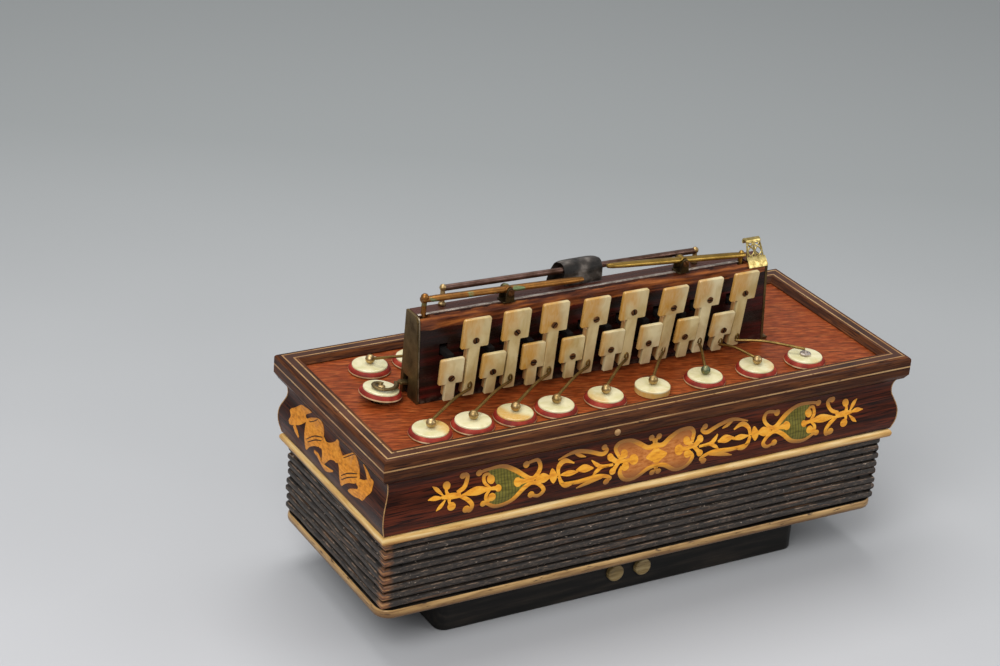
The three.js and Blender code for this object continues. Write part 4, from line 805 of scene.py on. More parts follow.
# %% The front wall's scrolls
BOX, ORANGE, GREEN = range(3)
strokes = [
    [(-126.7, 1.7, 0.3), (-123, 1.9, 2.2), (-119.3, 1.5, 0.8)],
    [(-123.6, 7.3, 0.3), (-121.2, 5.3, 2.0), (-118.3, 2.2, 0.6)],
    [(-122.6, -4.4, 0.3), (-120.4, -2.6, 2.0), (-117.6, 0.2, 0.6)],
    [(-116.1, 6.3, 1.6), (-116.5, 3.7, 1.6), (-115.4, 1.6, 2.2)],
    [(-114.4, -3.4, 1.6), (-115.6, -0.9, 1.6), (-115.0, 1.2, 2.2)],
    [(-119.6, 1.5, 1.2), (-114.7, 1.4, 2.8), (-109.2, 1.0, 2.2)],
    [(-111, 2.4, 1.6), (-106.7, 4.3, 2.0), (-104.8, 8.3, 2.2), (-105.8, 10.5, 1.6), (-107.9, 10.0, 1.8)],
    [(-109.7, 0.6, 1.6), (-105.7, -1.9, 2.2), (-103.2, -5.2, 2.2), (-104.1, -8.4, 1.8), (-106.4, -7.0, 1.6)],
    [(-108.6, 0.8, 0.6), (-100.6, 1.3, 4.0), (-94.0, 1.1, 1.6), (-89.0, 0.7, 2.2)],
    [(-93.2, 1.5, 1.0), (-95.9, 4.3, 1.8), (-95.7, 7.5, 1.8), (-93.4, 7.8, 1.4), (-92.2, 5.8, 1.2)],
    [(-93.2, 1.0, 1.0), (-95.7, -1.8, 1.8), (-95.2, -4.9, 1.8), (-92.6, -4.2, 1.2)],
    [(-98.3, 9.5, 1.8), (-94.5, 10.3, 1.8), (-86.2, 10.6, 2.2), (-79.2, 7.2, 2.4), (-71.4, 2, 2.0),
     (-67.5, 2.8, 2.0), (-65, 6.2, 2.2), (-66.5, 9.9, 2.0), (-70.4, 9.7, 1.8), (-73.2, 8.6, 1.4)],
    [(-97.0, -5.6, 1.6), (-94.9, -6.3, 1.8), (-89.6, -9, 2.2), (-81.9, -7.6, 2.4), (-75.6, -2.4, 2.4),
     (-70.7, -0.2, 2.0), (-66.5, -1.8, 2.0), (-63.9, -5.4, 2.2), (-66.6, -8, 2.0), (-70.7, -6.6, 1.6)],
    [(-77.9, 1.4, 3.6), (-74.4, 1.2, 2.0), (-70.6, 0.8, 0.8)],
    [(-68.4, 0.7, 0.8), (-64.2, 0.8, 4.6), (-60.0, 0.8, 0.8)],
    [(-55.6, 0.4, 1.6), (-55.1, 4.2, 2.2), (-51.4, 6.6, 2.4), (-46.2, 4.7, 0.6)],
    [(-55.6, 0.2, 1.6), (-53.8, -3.7, 2.2), (-50.7, -5.6, 2.4), (-45.2, -4.0, 0.6)],
    [(-54.6, 0.5, 0.6), (-49.6, 0.5, 2.8), (-44.6, 0.4, 0.6)],
    [(-55.0, 7.6, 0.6), (-45.8, 10.1, 2.2), (-38.2, 8.8, 2.2), (-30.4, 6.1, 2.0), (-27.2, 7.4, 1.8),
     (-28.6, 9.4, 1.6)],
    [(-46.4, 9.8, 0.6), (-42.8, 7.7, 1.8), (-39.4, 6.4, 0.4)],
    [(-45.7, 1.2, 0.6), (-40.8, 1.2, 3.8), (-35.9, 0.6, 0.8)],
    [(-36.4, 4.2, 0.5), (-34.0, 1.9, 2.0), (-31.0, 0.5, 1.6), (-24.6, 0.2, 1.2)],
    [(-36.4, -3.2, 0.5), (-34.0, -1.2, 2.0), (-31.0, 0.1, 1.4), (-27.0, 0.2, 1.0)],
    [(-55.0, -3.6, 0.6), (-45.5, -4.9, 2.2), (-35.1, -4.2, 2.4), (-29.8, -4.7, 2.0), (-26.1, -6.6, 2.0),
     (-27.8, -8.4, 1.8)],
    [(-45.2, -8.5, 0.6), (-39.5, -6.9, 2.2), (-30.9, -5.4, 0.8)],
    [(-25.7, 3.8, 2.8), (-22.6, 1.4, 2.4), (-19.4, 0.9, 1.8), (-12.7, 0.6, 2.4)],
    [(-25.0, -3.2, 2.6), (-22.0, 0.2, 2.0), (-17.8, 4.0, 2.6)],
    [(-20.7, 3, 1.8), (-22.3, 7.3, 2.2), (-19.7, 10.2, 2.2), (-13.8, 10.1, 2.2), (-8.7, 7.5, 2.4),
     (-3.6, 4.6, 2.2), (0.2, 5.6, 2.0), (-0.4, 8.4, 1.8)],
    [(-19.5, -1.7, 1.8), (-20.7, -4.9, 2.2), (-17.5, -9.3, 2.2), (-11.5, -10.2, 2.2), (-4.3, -5.8, 2.4),
     (0.5, -5.2, 2.0), (0.4, -8.2, 1.8)],
]
spots = [(-116.1, 6.5, 2.0), (-114.4, -3.6, 2.2), (-107.4, 9.8, 1.7), (-106.2, -6.9, 2.0), (-89.0, 0.6, 1.7),
         (-92.4, 5.2, 2.1), (-92.6, -3.2, 2.1), (-98.6, 9.5, 1.7), (-97.2, -5.8, 1.6), (-72.8, 8.8, 1.8),
         (-70.8, -6.4, 1.8), (-78.2, 1.4, 2.2), (-28.9, 9.3, 1.6), (-28.0, -8.4, 1.7), (-25.7, 3.8, 1.8),
         (-25.0, -3.2, 1.8), (-12.7, 0.6, 2.6), (-17.7, 4.2, 2.0), (-17.7, -2.1, 2.2), (-1.6, 9.2, 1.6),
         (-1.2, -8.8, 1.6)]
heart = [(-93.3, 9.3), (-86.1, 10), (-76.2, 4.6), (-71.3, 0.8), (-75.5, -2.8), (-81.8, -8.1), (-89, -9.1),
         (-94.9, -5.3), (-89.3, 0.7)]
oval = [(-58.6, 4.3), (-56.4, 0.7), (-58.6, -2.9), (-60.8, 0.7)]
cartouche = [(-21.5, 5.5), (-18.5, 10.0), (-12.5, 9.8), (-5.5, 5.6), (1.2, 5.0), (1.2, -5.0), (-5.0, -6.4),
             (-11.5, -10.0), (-17.8, -9.0), (-20.4, -4.0), (-17.0, 0.5)]
inlays = [field(heart, (-82.5, 0.6), proud=0.12, slot=GREEN), field(oval, (-58.6, 0.7), slot=BOX),
          field(cartouche, (-8.0, 0.4), proud=0.12, slot=ORANGE)]
inlays += [stroke(points) for points in strokes] + [spot(*place) for place in spots]
mirrored = [
    part._replace(points=part.points * [-1, 1, 1] + [2 * INLAY_MIDDLE, 0, 0], quads=part.quads[:, ::-1],
                  caps=[cap[::-1] for cap in part.caps]) for part in inlays]
diamond = field([(-5.6, 0.2), (-1.6, 2.9), (0.6, 4.8), (2.8, 2.9), (6.8, 0.2), (2.8, -2.5), (0.6, -4.4),
                 (-1.6, -2.5)], (0.6, 0.2), proud=0.2)
make_piece("front_marquetry", inlays + mirrored + [diamond], [boxwood, orange_wood, green_wood], "case")
print("marquetry bits", len(inlays) * 2 + 1, "on the front")

# %% [markdown]
# The end walls carry an interlaced strapwork scroll of orange wood, with dark lines engraved across it.
# Each block of it is a filled field, and the lines are thin dark strokes on top.

# %% The end walls' strapwork
blocks = [
    [(48.0, 3.0), (44.2, 5.8), (39.5, 9.3), (34.6, 10.4), (30.2, 11.1), (27.3, 10.9), (32.9, 7.2),
     (32.2, 5.9), (29.8, 5.7), (33.9, 1.5), (39.6, -1.5), (44.0, -3.2), (46.1, -1.8), (45.3, 0.9)],
    [(30.7, 5.7), (24.7, 9.3), (19.0, 11.6), (15.6, 11.6), (13.4, 8.9), (11.6, 5.1), (8.6, 3.8), (12.2, 0.1),
     (16.8, -1.8), (21.5, -4.7), (25.3, -8.1), (26.9, -4.4), (28.8, 0.4)],
    [(11.6, 5.1), (8.7, 4.5), (4.9, 5.4), (0.5, 8.3), (-1.2, 10.3), (-3.2, 10.1), (-3.8, 8.1), (-6.3, 6.6),
     (-9.3, 5.3), (-9.6, 2.2), (-6.4, 0.6), (-4.1, 0.6), (-0.4, -0.8), (2.2, -3.3), (4.9, -5.6), (7.3, -5.0),
     (7.6, -1.8), (9.3, 0.2), (12.2, 0.1)],
    [(-9.3, 5.3), (-14.5, 9.1), (-20.2, 12.6), (-22.6, 11.1), (-25.2, 8.3), (-27.8, 5.0), (-29.4, 3.2),
     (-27.4, 0.1), (-22.1, -2.3), (-17.8, -5.1), (-13.9, -8.0), (-12.1, -4.0), (-10.3, -0.3), (-8.2, 1.5)],
    [(-29.4, 3.2), (-33.3, 4.6), (-37.6, 7.5), (-40.7, 7.5), (-41.4, 5.1), (-42.1, 2.7), (-39.8, -0.4),
     (-37.0, -4.1), (-33.4, -4.8), (-29.0, -6.2), (-24.5, -7.0), (-21.7, -7.0), (-22.5, -5.4), (-26.8, -2.9),
     (-30.3, -1.6), (-30.6, 0.4), (-28.3, 0.6)],
]
scroll_strokes = [
    [(40.1, -1.8, 2.4), (36.9, -3.6, 3.0), (33.8, -5.4, 1.4)],
    [(-36.8, 6.4, 3.0), (-32.9, 9.0, 2.4), (-29.9, 11.1, 0.8)],
    [(16.1, -4.2, 1.4), (11.7, -4.6, 2.4), (8.7, -6.1, 2.6), (4.7, -7.4, 3.2), (0.0, -6.5, 2.4),
     (-5.0, -4.6, 0.8)],
]
block_lines = [
    [(27.8, 5.7, 0.4), (24.5, 7.5, 0.5), (20.4, 10.5, 0.4)],
    [(25.1, -2.0, 0.4), (19.2, 2.3, 0.6), (12.6, 4.7, 0.4)],
    [(23.6, -2.9, 0.4), (17.2, 1.2, 0.6), (12.0, 3.2, 0.4)],
    [(-10.7, 5.1, 0.4), (-15.5, 8.6, 0.5), (-20.7, 12.0, 0.4)],
    [(-13.8, -2.5, 0.4), (-19.0, 1.2, 0.6), (-26.1, 4.3, 0.4)],
    [(-14.4, -4.5, 0.4), (-20.1, -0.4, 0.6), (-27.0, 3.1, 0.4)],
]
for end, side in ((-1, "left"), (1, "right")):
    scroll = [field(outline, np.mean(outline, axis=0), end, 0.14, steps=4) for outline in blocks]
    scroll += [stroke(points, end, 0.18) for points in scroll_strokes]
    scroll += [stroke(points, end, 0.26, 1) for points in block_lines]
    make_piece(f"{side}_end_strapwork", scroll, [scroll_wood, ink], "case")
print("end fields and lines", len(scroll))

# %% [markdown]
# Keys: each is a wooden lever bar faced with pearl, held by one slotted screw. A brass wire leaves the key
# and ends in a ball that is fixed on its pallet. The facing is one plate with a wide head and a narrow stem.
# The keys were bent by hand until each pallet sat tight, so every key leans forwards by its own angle. The
# lugs and the wires through the board can't follow that: they sit in the board's slots, at an even pitch.

# %% Parts of a key
BAR_BACK_Y, KEY_FOOT_Z, BOARD_BACK_Y, FACING_BACK_Y = -10.2, 114.1, 8.5, -13.2
FACING_THICK, BAR_THICK, SCREW_Y = 2.0, 2.85, -15.15
LUG_HALF, LUG_BELOW, LUG_ABOVE, LUG_DEPTH = 1.7, 1.9, 0.9, 11.0
WIRE_RADIUS, HAIRPIN_RADIUS, WIRE_ROOT_Y, TUNNEL_DROP = 0.75, 0.5, -16.2, 13.2
BALL_Z = PALLET_TOP + BALL_RADIUS
PEARL, BAR, WIRE, SCREW, DARK, BALL = range(6)


def leaned(surface, degrees):
    """Tips an upright part forwards about the line where its bar's back meets the board's foot."""
    down = placed(surface, None, (0, -BAR_BACK_Y, -KEY_FOOT_Z))
    return placed(down, tipped_about_x(degrees), (0, BAR_BACK_Y, KEY_FOOT_Z))


Key = namedtuple("Key", "top head_width head_height foot stem bar_top bar_foot shaved screw_z")
LONG_KEY = Key(158.4, 14.8, 16.1, 114.9, 3.0, 140.0, 115.4, 0.0, 146.3)
SHORT_KEY = Key(137.2, 12.9, 13.9, 113.9, 2.8, 135.4, 116.4, 1.0, 126.6)
LOW_KEY = SHORT_KEY._replace(bar_top=124.0, bar_foot=114.6, shaved=0.0)


def facing(x, key):
    """A wide head on a narrow stem, with softened corners."""
    half, head_foot = key.head_width / 2, key.top - key.head_height
    corners = [[-key.stem, key.foot], [key.stem, key.foot], [key.stem, head_foot], [half, head_foot],
               [half, key.top], [-half, key.top], [-half, head_foot], [-key.stem, head_foot]]
    outline = rounded(corners, [0.5, 0.5, 0.25, 0.7, 1.3, 1.3, 0.7, 0.25])
    return placed(plate(outline, FACING_THICK, 0.4, PEARL), TO_FRONT, (x, FACING_BACK_Y, 0))


def upright_bar(x, key):
    """The lever behind a facing. Shaved thinner at its back, a short one clears the board when pressed."""
    outline = rounded(box_outline(-key.stem, key.bar_foot, key.stem, key.bar_top), 0.4, 3)
    bar = plate(outline, BAR_THICK - key.shaved, 0.25, BAR)
    return placed(bar, TO_FRONT, (x, BAR_BACK_Y - 0.05 - key.shaved, 0))


def axle_lug(x, pivot_z):
    """A block between the leaning bar and the axle, coloured near black: painted shade of the board's slot.
    """
    outline = box_outline(-LUG_HALF, pivot_z - LUG_BELOW, LUG_HALF, pivot_z + LUG_ABOVE)
    lug = plate(rounded(outline, 0.3, 3), LUG_DEPTH, 0.2, DARK)
    return placed(lug, TO_FRONT, (x, AXLE_Y + LUG_ABOVE, 0))


def slotted_screw(x, y, z, radius=1.75, slot=0, angle=0.6, slot_inside=0):
    """A low domed head, cut by a slot: two half discs stand either side of it."""
    turn = np.linspace(-np.pi / 2 + 0.2, np.pi / 2 - 0.2, 11)
    halves = []
    for start in (0, np.pi):
        half = plate(arc(turn + start + angle, radius), 0.6, 0.2, slot)
        halves.append(placed(half, TO_FRONT, (x, y, z)))
    # The bed shows in the slot; on the keys it takes the near-black finish, which is painted shade in the
    # slot.
    bed = turned([(radius * 0.94, 0), (radius * 0.94, 0.28)], 18, slot_inside)
    return halves + [placed(bed, TO_FRONT, (x, y, z))]


def front_wire(x, root_z, target):
    """From a hairpin in the stem's foot down to the ball on the pallet, with a slight bow upwards."""
    root = np.array([x, WIRE_ROOT_Y, root_z])
    end = np.array([target, FRONT_ROW_Y + 0.6, BALL_Z + 0.5])
    quarter, middle = root * 0.75 + end * 0.25, (root + end) / 2
    path = spline([root + [0, 1.4, 0.5], root, quarter + [0, 0, 1.1], middle + [0, 0, 1.3], end], 26)
    turn = np.linspace(-0.6 * np.pi, 1.1 * np.pi, 15)
    hairpin = np.insert(arc(turn, (0.9, 2.0), (x, root_z + 1.6)), 1, root[1] + 0.1, axis=1)
    return [wire(path, WIRE_RADIUS, slot=WIRE), wire(hairpin, HAIRPIN_RADIUS, 8, up=(0, 1, 0), slot=WIRE)]


def back_wire(x, target):
    """Straight back through its tunnel in the board, and then down and aside to the ball."""
    z, end = AXLE_Z - TUNNEL_DROP, [target, BACK_ROW_Y, BALL_Z]
    bend = [x + (target - x) / 4, BOARD_BACK_Y + 9, z - 0.4]
    straight = [[x, y, z] for y in (BAR_BACK_Y - 1.0, AXLE_Y, BOARD_BACK_Y, BOARD_BACK_Y + 2.2)]
    return [wire(spline([*straight, bend, end], 34), WIRE_RADIUS, up=(1, 0, 0), slot=WIRE)]


# %% [markdown]
# The sixteen keys differ only in their head, their lean, their pivot and where their wire goes, so they are
# made in one loop. Each key rides on its own body, with its pallet, and so turns with it.

# %% Keys
SLOT_PITCH = 22.25
LONG_SLOT_X = -83.825 + SLOT_PITCH * np.arange(8)
SHORT_SLOT_X = LONG_SLOT_X - SLOT_PITCH / 2
LONG_LEAN = [6.7, 5.6, 4.6, 6.8, 6.3, 9.6, 7.6, 7.2]
SHORT_LEAN = [5.6, 8.0, 3.6, 5.9, 7.3, 8.3, 9.0, 10.6]
LONG_SCREW_X = [0, 0.5, -0.2, 0.5, 0.1, 0.5, 1.1, 0.7]
SHORT_SCREW_X = [0, 0.1, 0.3, 0.3, -0.5, -0.5, -0.7, 1.4]
LONG_ROOT_Z = [118.5] * 6 + [119.3, 117.5]
slot_angles = np.random.default_rng(3).uniform(0, np.pi, 16)


def upright_half(key, x, screw_x, angle, lean):
    """What leans forwards: facing, bar and screw."""
    screw = slotted_screw(x + screw_x, SCREW_Y, key.screw_z, slot=SCREW, angle=angle, slot_inside=DARK)
    return [leaned(part, lean) for part in (facing(x, key), upright_bar(x, key), *screw)]


def long_key(i):
    x, target = LONG_X[i], FRONT_ROW_X[8 if i == 7 else i]
    parts = upright_half(LONG_KEY, x, LONG_SCREW_X[i], slot_angles[i], LONG_LEAN[i])
    parts += [axle_lug(LONG_SLOT_X[i], AXLE_Z)]
    parts += front_wire(x + (1.4 if i == 7 else 0), LONG_ROOT_Z[i], target)
    if i == 7:
        eye = [(2.9, 0), (2.9, 0.9), (2.5, 1.2), (1.2, 1.2), (1.1, 0.8), (0.2, 0.8)]
        return parts + [placed(turned(eye, 24, BALL), None, (target, FRONT_ROW_Y, PALLET_TOP + 0.1))]
    return parts + [ball(target, FRONT_ROW_Y, BALL_Z, slot=BALL)]


def short_key(i):
    x, slot_x, low = SHORT_X[i], SHORT_SLOT_X[i], i == 7
    key = LOW_KEY if low else SHORT_KEY
    parts = upright_half(key, x, SHORT_SCREW_X[i], slot_angles[8 + i], SHORT_LEAN[i])
    parts += [axle_lug(slot_x, LOW_PIN_Z if low else AXLE_Z)]
    parts += front_wire(x + 1.2, 116.9, FRONT_ROW_X[7]) if low else back_wire(slot_x, BACK_ROW_X[i])
    target = (FRONT_ROW_X[7], FRONT_ROW_Y) if low else (BACK_ROW_X[i], BACK_ROW_Y)
    return parts + [ball(*target, BALL_Z, slot=BALL)]


key_looks = {"long": "AAOOAOPA", "short": "PAOAPPAP"}
looks = {"A": key_pearl, "O": amber_pearl, "P": pale_pearl}
for row, builder, places in (("long", long_key, LONG_X), ("short", short_key, SHORT_X)):
    for i in range(8):
        materials = [looks[key_looks[row][i]], lever_wood, wire_brass, dark_screw, painted_shade_black,
                     {("long", 6): green_brass, ("long", 7): grey_strip}.get((row, i), ball_brass)]
        # The amber value grows towards each key's left side: partly the pearl's edge colour, partly painted
        # shade on that side.
        left_edge = lambda points, x=places[i]: 1.1 * np.clip((x - 1.5 - points[:, 0]) / 5.5, 0, 1)
        make_piece(f"{row}_key_{i + 1}_pearl_and_wire", builder(i), materials, f"{row}_key_{i + 1}",
                   (f"key_{row}_{i + 1}",), values={"amber": left_edge})
print("keys 16")

# %% [markdown]
# A pallet is turned in one go: cream pad, red leather washer and pearl disc are rings of one profile, and
# each ring has its own material. The leather slopes in from the pad to the pearl, so a red ring shows. One
# pallet has lost its washer: its rings are no wider than the disc, and all are pearl.

# %% Pallets
PALLET_RADIUS, DISC_RADIUS = 10.7, 8.95


def pallet(widest=PALLET_RADIUS):
    """Profile of (radius, height) rings: a pad, a sloping washer and a disc with a softened rim."""
    rows = [((10.2, 0.0), 0), ((10.6, 0.2), 0), ((10.7, 0.6), 0), ((10.6, 0.9), 1), ((10.5, 1.1), 1),
            ((10.1, 1.9), 1), ((9.4, 2.5), 1), ((DISC_RADIUS, 2.6), 2), ((DISC_RADIUS, 2.9), 2),
            ((8.9, 3.2), 2), ((8.7, 3.42), 2), ((8.3, 3.5), 2), ((4.0, 3.58), 2), ((0.6, 3.6), 2)]
    profile = np.minimum([point for point, _ in rows], [widest, 9])
    return turned(profile, 56, [kind for _, kind in rows][:-1])


pallet_places = [("long", i, FRONT_ROW_X[i], FRONT_ROW_Y) for i in range(7)]
pallet_places += [("short", 7, FRONT_ROW_X[7], FRONT_ROW_Y), ("long", 7, FRONT_ROW_X[8], FRONT_ROW_Y)]
pallet_places += [("short", i, BACK_ROW_X[i], BACK_ROW_Y) for i in range(7)]
amber_share = [0.75, 0.1, 1.0, 0.05, 0.55, 0.35, 0.05, 0.5, 0.3, 0.2, 0.5, 0.3, 0.1, 0.6, 0.2, 0.4]
amber_way = [0.0, 2.0, 3.7, 1.0, 3.4, 4.2, 1.0, 5.6, 5.2, 3.0, 1.0, 4.0, 2.0, 5.0, 0.5, 3.0]
pallet_materials = [cream_leather, red_leather, pallet_pearl]
for (row, i, x, y), share, way in zip(pallet_places, amber_share, amber_way):
    bare = (row, i) == ("long", 5)
    one_side = lambda p, x=x, y=y, s=share, w=way: s * (
        0.5 + 0.09 * ((p[:, 0] - x) * np.cos(w) + (p[:, 1] - y) * np.sin(w))) + (p[:, 2] < 113.6) * bare
    disc = placed(pallet(DISC_RADIUS if bare else PALLET_RADIUS), None, (x, y, PALLET_Z))
    make_piece(f"{row}_pallet_{i + 1}", [disc], [pallet_pearl] * 3 if bare else pallet_materials,
               f"{row}_key_{i + 1}", (f"pallet_{row}_{i + 1}",), values={"amber": one_side})
print("pallets", len(pallet_places))

# %% [markdown]
# The bass pallet at the left end stands open. Its arm is a flat lug that turns into a flat hooked band,
# which curls round once and ends over the pallet's middle. Pallet and arm are tipped by the same angle.

# %% Bass pallet and hook
BASS_TIP, BASS_REACH, HOOK_WIDE, HOOK_TIGHT = 7.0, -21.3, 7.6, 1.8
bass_pivot = np.array([-101.0, 3.0, 116.6])
turn = np.linspace(0, 1, 48)
swing = -2 * np.pi * 0.85 * turn
reach = HOOK_WIDE + (HOOK_TIGHT - HOOK_WIDE) * turn
hook_z = (PALLET_TOP - bass_pivot[2] + 1.1) * np.minimum(1, 2.2 * turn)
hook_path = np.stack([BASS_REACH + reach * np.cos(swing), reach * np.sin(swing), hook_z], axis=1)
hook_path = np.concatenate([[[-9.7, 0, 0.0], [-11.5, 0, 0.0]], hook_path])
hook = wire(hook_path, 1.3, 12, flatten=0.55)
lug = placed(plate(rounded(box_outline(-12.0, -2.0, 3.0, 2.0), 0.8), 1.5, 0.3), None, (0, 0, -0.75))
pin = placed(turned([(0.8, -4.0), (0.8, 4.0)], 12), TO_FRONT)
boss = placed(turned([(1.9, 0), (1.9, 0.7), (1.4, 1.0), (0.3, 1.1)], 20, 1), None,
              (BASS_REACH, 0, PALLET_TOP - bass_pivot[2]))
arm = [placed(part, tipped_about_y(BASS_TIP), bass_pivot) for part in (hook, lug, pin, boss)]
make_piece("bass_hook", arm, [plate_brass, ball_brass], "bass_valve", ("bass_arm",))
bass_disc = placed(pallet(), None, (BASS_REACH, 0, PALLET_Z - bass_pivot[2]))
make_piece("bass_pallet_disc", [placed(bass_disc, tipped_about_y(BASS_TIP), bass_pivot)], pallet_materials,
           "bass_valve", ("bass_pallet",), values={"amber": lambda p: 0.1 + 0 * p[:, 0]})

# %% [markdown]
# On top of the board lie two thumb levers, each rocking in a small bracket, with a post at its outer end
# that goes down into the board. They are tapered bars of brass; the left one is browned, the right bright.

# %% Thumb levers and brackets
LEVER_Y, LEVER_Z = -2.2, 161.5
LEFT_PIVOT_X, RIGHT_PIVOT_X = -59.0, 42.6


def thumb_lever(pivot_x, inner, outer, tilt_degrees, knob):
    """A softened bar between its outer and inner ends, with post, knob and hub, tilted at the pin."""
    way = np.sign(inner)
    xs = np.array([outer, outer + 8 * way, 0, inner - 10 * way, inner - 3 * way, inner - 0.5 * way, inner])
    widths = np.array([1.9, 2.2, 2.25, 2.2, 1.9, 1.5, 0.5])
    middle = spline(np.stack([xs, 0 * xs, 0 * xs], axis=1), 36)
    widths = np.interp(way * middle[:, 0], way * xs, widths)
    bar = wire(middle, widths, 16, flatten=0.7)
    post_x = outer + 1.6 * way
    post = placed(turned([(1.3, -11.0), (1.3, -1.0), (1.5, -0.6), (1.5, 0.4)], 16), None, (post_x, 0, 0))
    hub = placed(turned([(1.9, -2.25), (2.1, -2.0), (2.1, 2.0), (1.9, 2.25)], 20), TO_FRONT)
    parts = [bar, post, ball(post_x, 0, 1.2, knob, 0), hub]
    return [placed(part, tipped_about_y(tilt_degrees), (pivot_x, LEVER_Y, LEVER_Z)) for part in parts]


left_lever = thumb_lever(LEFT_PIVOT_X, inner=43.5, outer=-47.1, tilt_degrees=2.0, knob=2.0)
right_lever = thumb_lever(RIGHT_PIVOT_X, inner=-45.3, outer=38.5, tilt_degrees=4.4, knob=1.35)
make_piece("left_thumb_lever", left_lever, [bronze_lever], "lever_left", ("thumb_lever_left",))
make_piece("right_thumb_lever", right_lever, [yellow_lever], "lever_right", ("thumb_lever_right",))


def lever_bracket(x):
    """Two round ears on a foot plate, with a round-headed screw on the front ear."""
    ear = plate(np.concatenate([arc(np.linspace(0, np.pi, 14), 2.0), [[-2.4, -4.9], [2.4, -4.9]]]), 1.2, 0.25)
    parts = [placed(ear, TO_FRONT, (x, LEVER_Y + off, LEVER_Z - 0.4)) for off in (-2.65, 3.85)]
    foot = plate(rounded(box_outline(x - 3.6, LEVER_Y - 3.6, x + 3.6, LEVER_Y + 3.6), 1.0), 0.7, 0.2)
    parts.append(placed(foot, None, (0, 0, BOARD_TOP + 0.3)))
    return parts + slotted_screw(x, LEVER_Y - 3.85, LEVER_Z - 0.6, 1.7, 1, slot_inside=1)


for side, x in (("left", LEFT_PIVOT_X), ("right", RIGHT_PIVOT_X)):
    make_piece(f"{side}_bracket", lever_bracket(x), [black_brass, dark_screw], "case",
               (f"lever_bracket_{side}",))

# %% [markdown]
# Behind the levers a rail runs between two ball-topped posts, and a soft leather strap for the thumb is
# looped over it. The rail is drawn rod, darkened by its old lacquer; its balls are brass.

# %% Rail
RAIL_Y, RAIL_RADIUS, POST_FOOT, POST_RADIUS, POST_BALL = 4.6, 1.6, 1.9, 1.2, 1.75
rail_ends = np.array([[-91.0, RAIL_Y, 164.1], [55.1, RAIL_Y, 161.9]])
rail_path = rail_ends[:1] + np.linspace(0, 1, 40)[:, None] * (rail_ends[1:] - rail_ends[:1])
rail_parts = [wire(rail_path, RAIL_RADIUS, 20)]
for x, y, z in rail_ends:
    post = [(POST_FOOT, 0.3), (POST_FOOT, 1.1), (POST_RADIUS, 1.7), (POST_RADIUS, z - 0.5 - BOARD_TOP)]
    rail_parts += [ball(x, y, z + 0.3, POST_BALL, 1), placed(turned(post, 16, 1), None, (x, y, BOARD_TOP))]
make_piece("thumb_rail_rod", rail_parts, [rail_bronze, ball_brass], "case", ("thumb_rail",))

# %% [markdown]
# The strap is a strip of soft leather, nailed to the board's top in front of the rail, led over the rail
# and down the back in a loop that the thumb goes through. It is a curve in the (y, z) plane, given a width
# along x and a thickness. Creases are waves of many lengths that run across it, and its edges thin out.

# %% Thumb strap
STRAP_X, STRAP_HALF, CREASE_DEPTH = -13.05, 11.0, 0.34
strap_line = spline([[1.95, 155.6], [1.95, 160.9], [2.6, 163.6], [5.9, 166.1], [13.4, 162.6], [19.0, 147.9],
                     [15.2, 137.6], [10.05, 131.7], [8.6, 128.9]], 90)
line_step = unit(np.gradient(strap_line, axis=0))
line_normal = np.stack([-line_step[:, 1], line_step[:, 0]], axis=1)
across = np.linspace(-1, 1, 40)
length_share = np.linspace(0, 1, len(strap_line))
strap_rng = np.random.default_rng(11)
crease = np.zeros((len(strap_line), len(across)))
for size in (9, 14, 21, 30, 44, 62, 80, 97):
    slope, start = strap_rng.uniform(-3.0, 3.0), strap_rng.uniform(0, 6.3)
    crease += np.sin(size * length_share[:, None] + slope * across[None] + start) / 7
free = np.sin(np.pi * np.clip(length_share * 1.1 - 0.05, 0, 1))[:, None] ** 0.6
ends = np.maximum(np.minimum(length_share, 1 - length_share) / 0.03, 0.3).clip(max=1)[:, None]
half_thick = (0.62 * (1 - across**6) + 0.08)[None] * ends


def strap_face(sign):
    """One face of the strap: its line, pushed out by the creases and half the thickness, at each x."""
    depth = CREASE_DEPTH * crease * free + sign * half_thick
    yz = strap_line[:, None] + depth[..., None] * line_normal[:, None]
    x = np.broadcast_to((STRAP_X + STRAP_HALF * across)[None, :, None], yz.shape[:2] + (1,))
    return np.concatenate([x, yz], axis=2)


strap_rings = np.concatenate([strap_face(1), strap_face(-1)[:, ::-1]], axis=1)
strap = make_piece("thumb_strap_leather", [body_of(strap_rings)], [black_leather], "case", ("thumb_strap",),
                   70)

# %% [markdown]
# At the treble end stands a small fret of cast brass on the board's chamfer, pierced in two columns of
# lozenges and rolled over at the top. Its foot follows the chamfer, and its rails come together a little
# towards the top. Every bar is a wire along the same bent section, swaying from rail to rail.

# %% Fret
fret_section = spline([[-2.9, 155.6], [-2.7, 158.0], [-1.9, 161.4], [-0.9, 164.2]], 25)
fret_up = np.linspace(0, 1, 25)
fret_left, fret_right = 82.9 + 0.2 * fret_up, 93.2 - 2.4 * fret_up
fret_middle = (fret_left + fret_right) / 2


def fret_bar(xs, radius, proud=0.0):
    """A wire that follows the fret's section while its x goes as given."""
    path = np.concatenate([xs[:, None], fret_section - [proud, 0]], axis=1)
    return wire(path, radius, 8, up=(0, 1, 0), flatten=0.8)


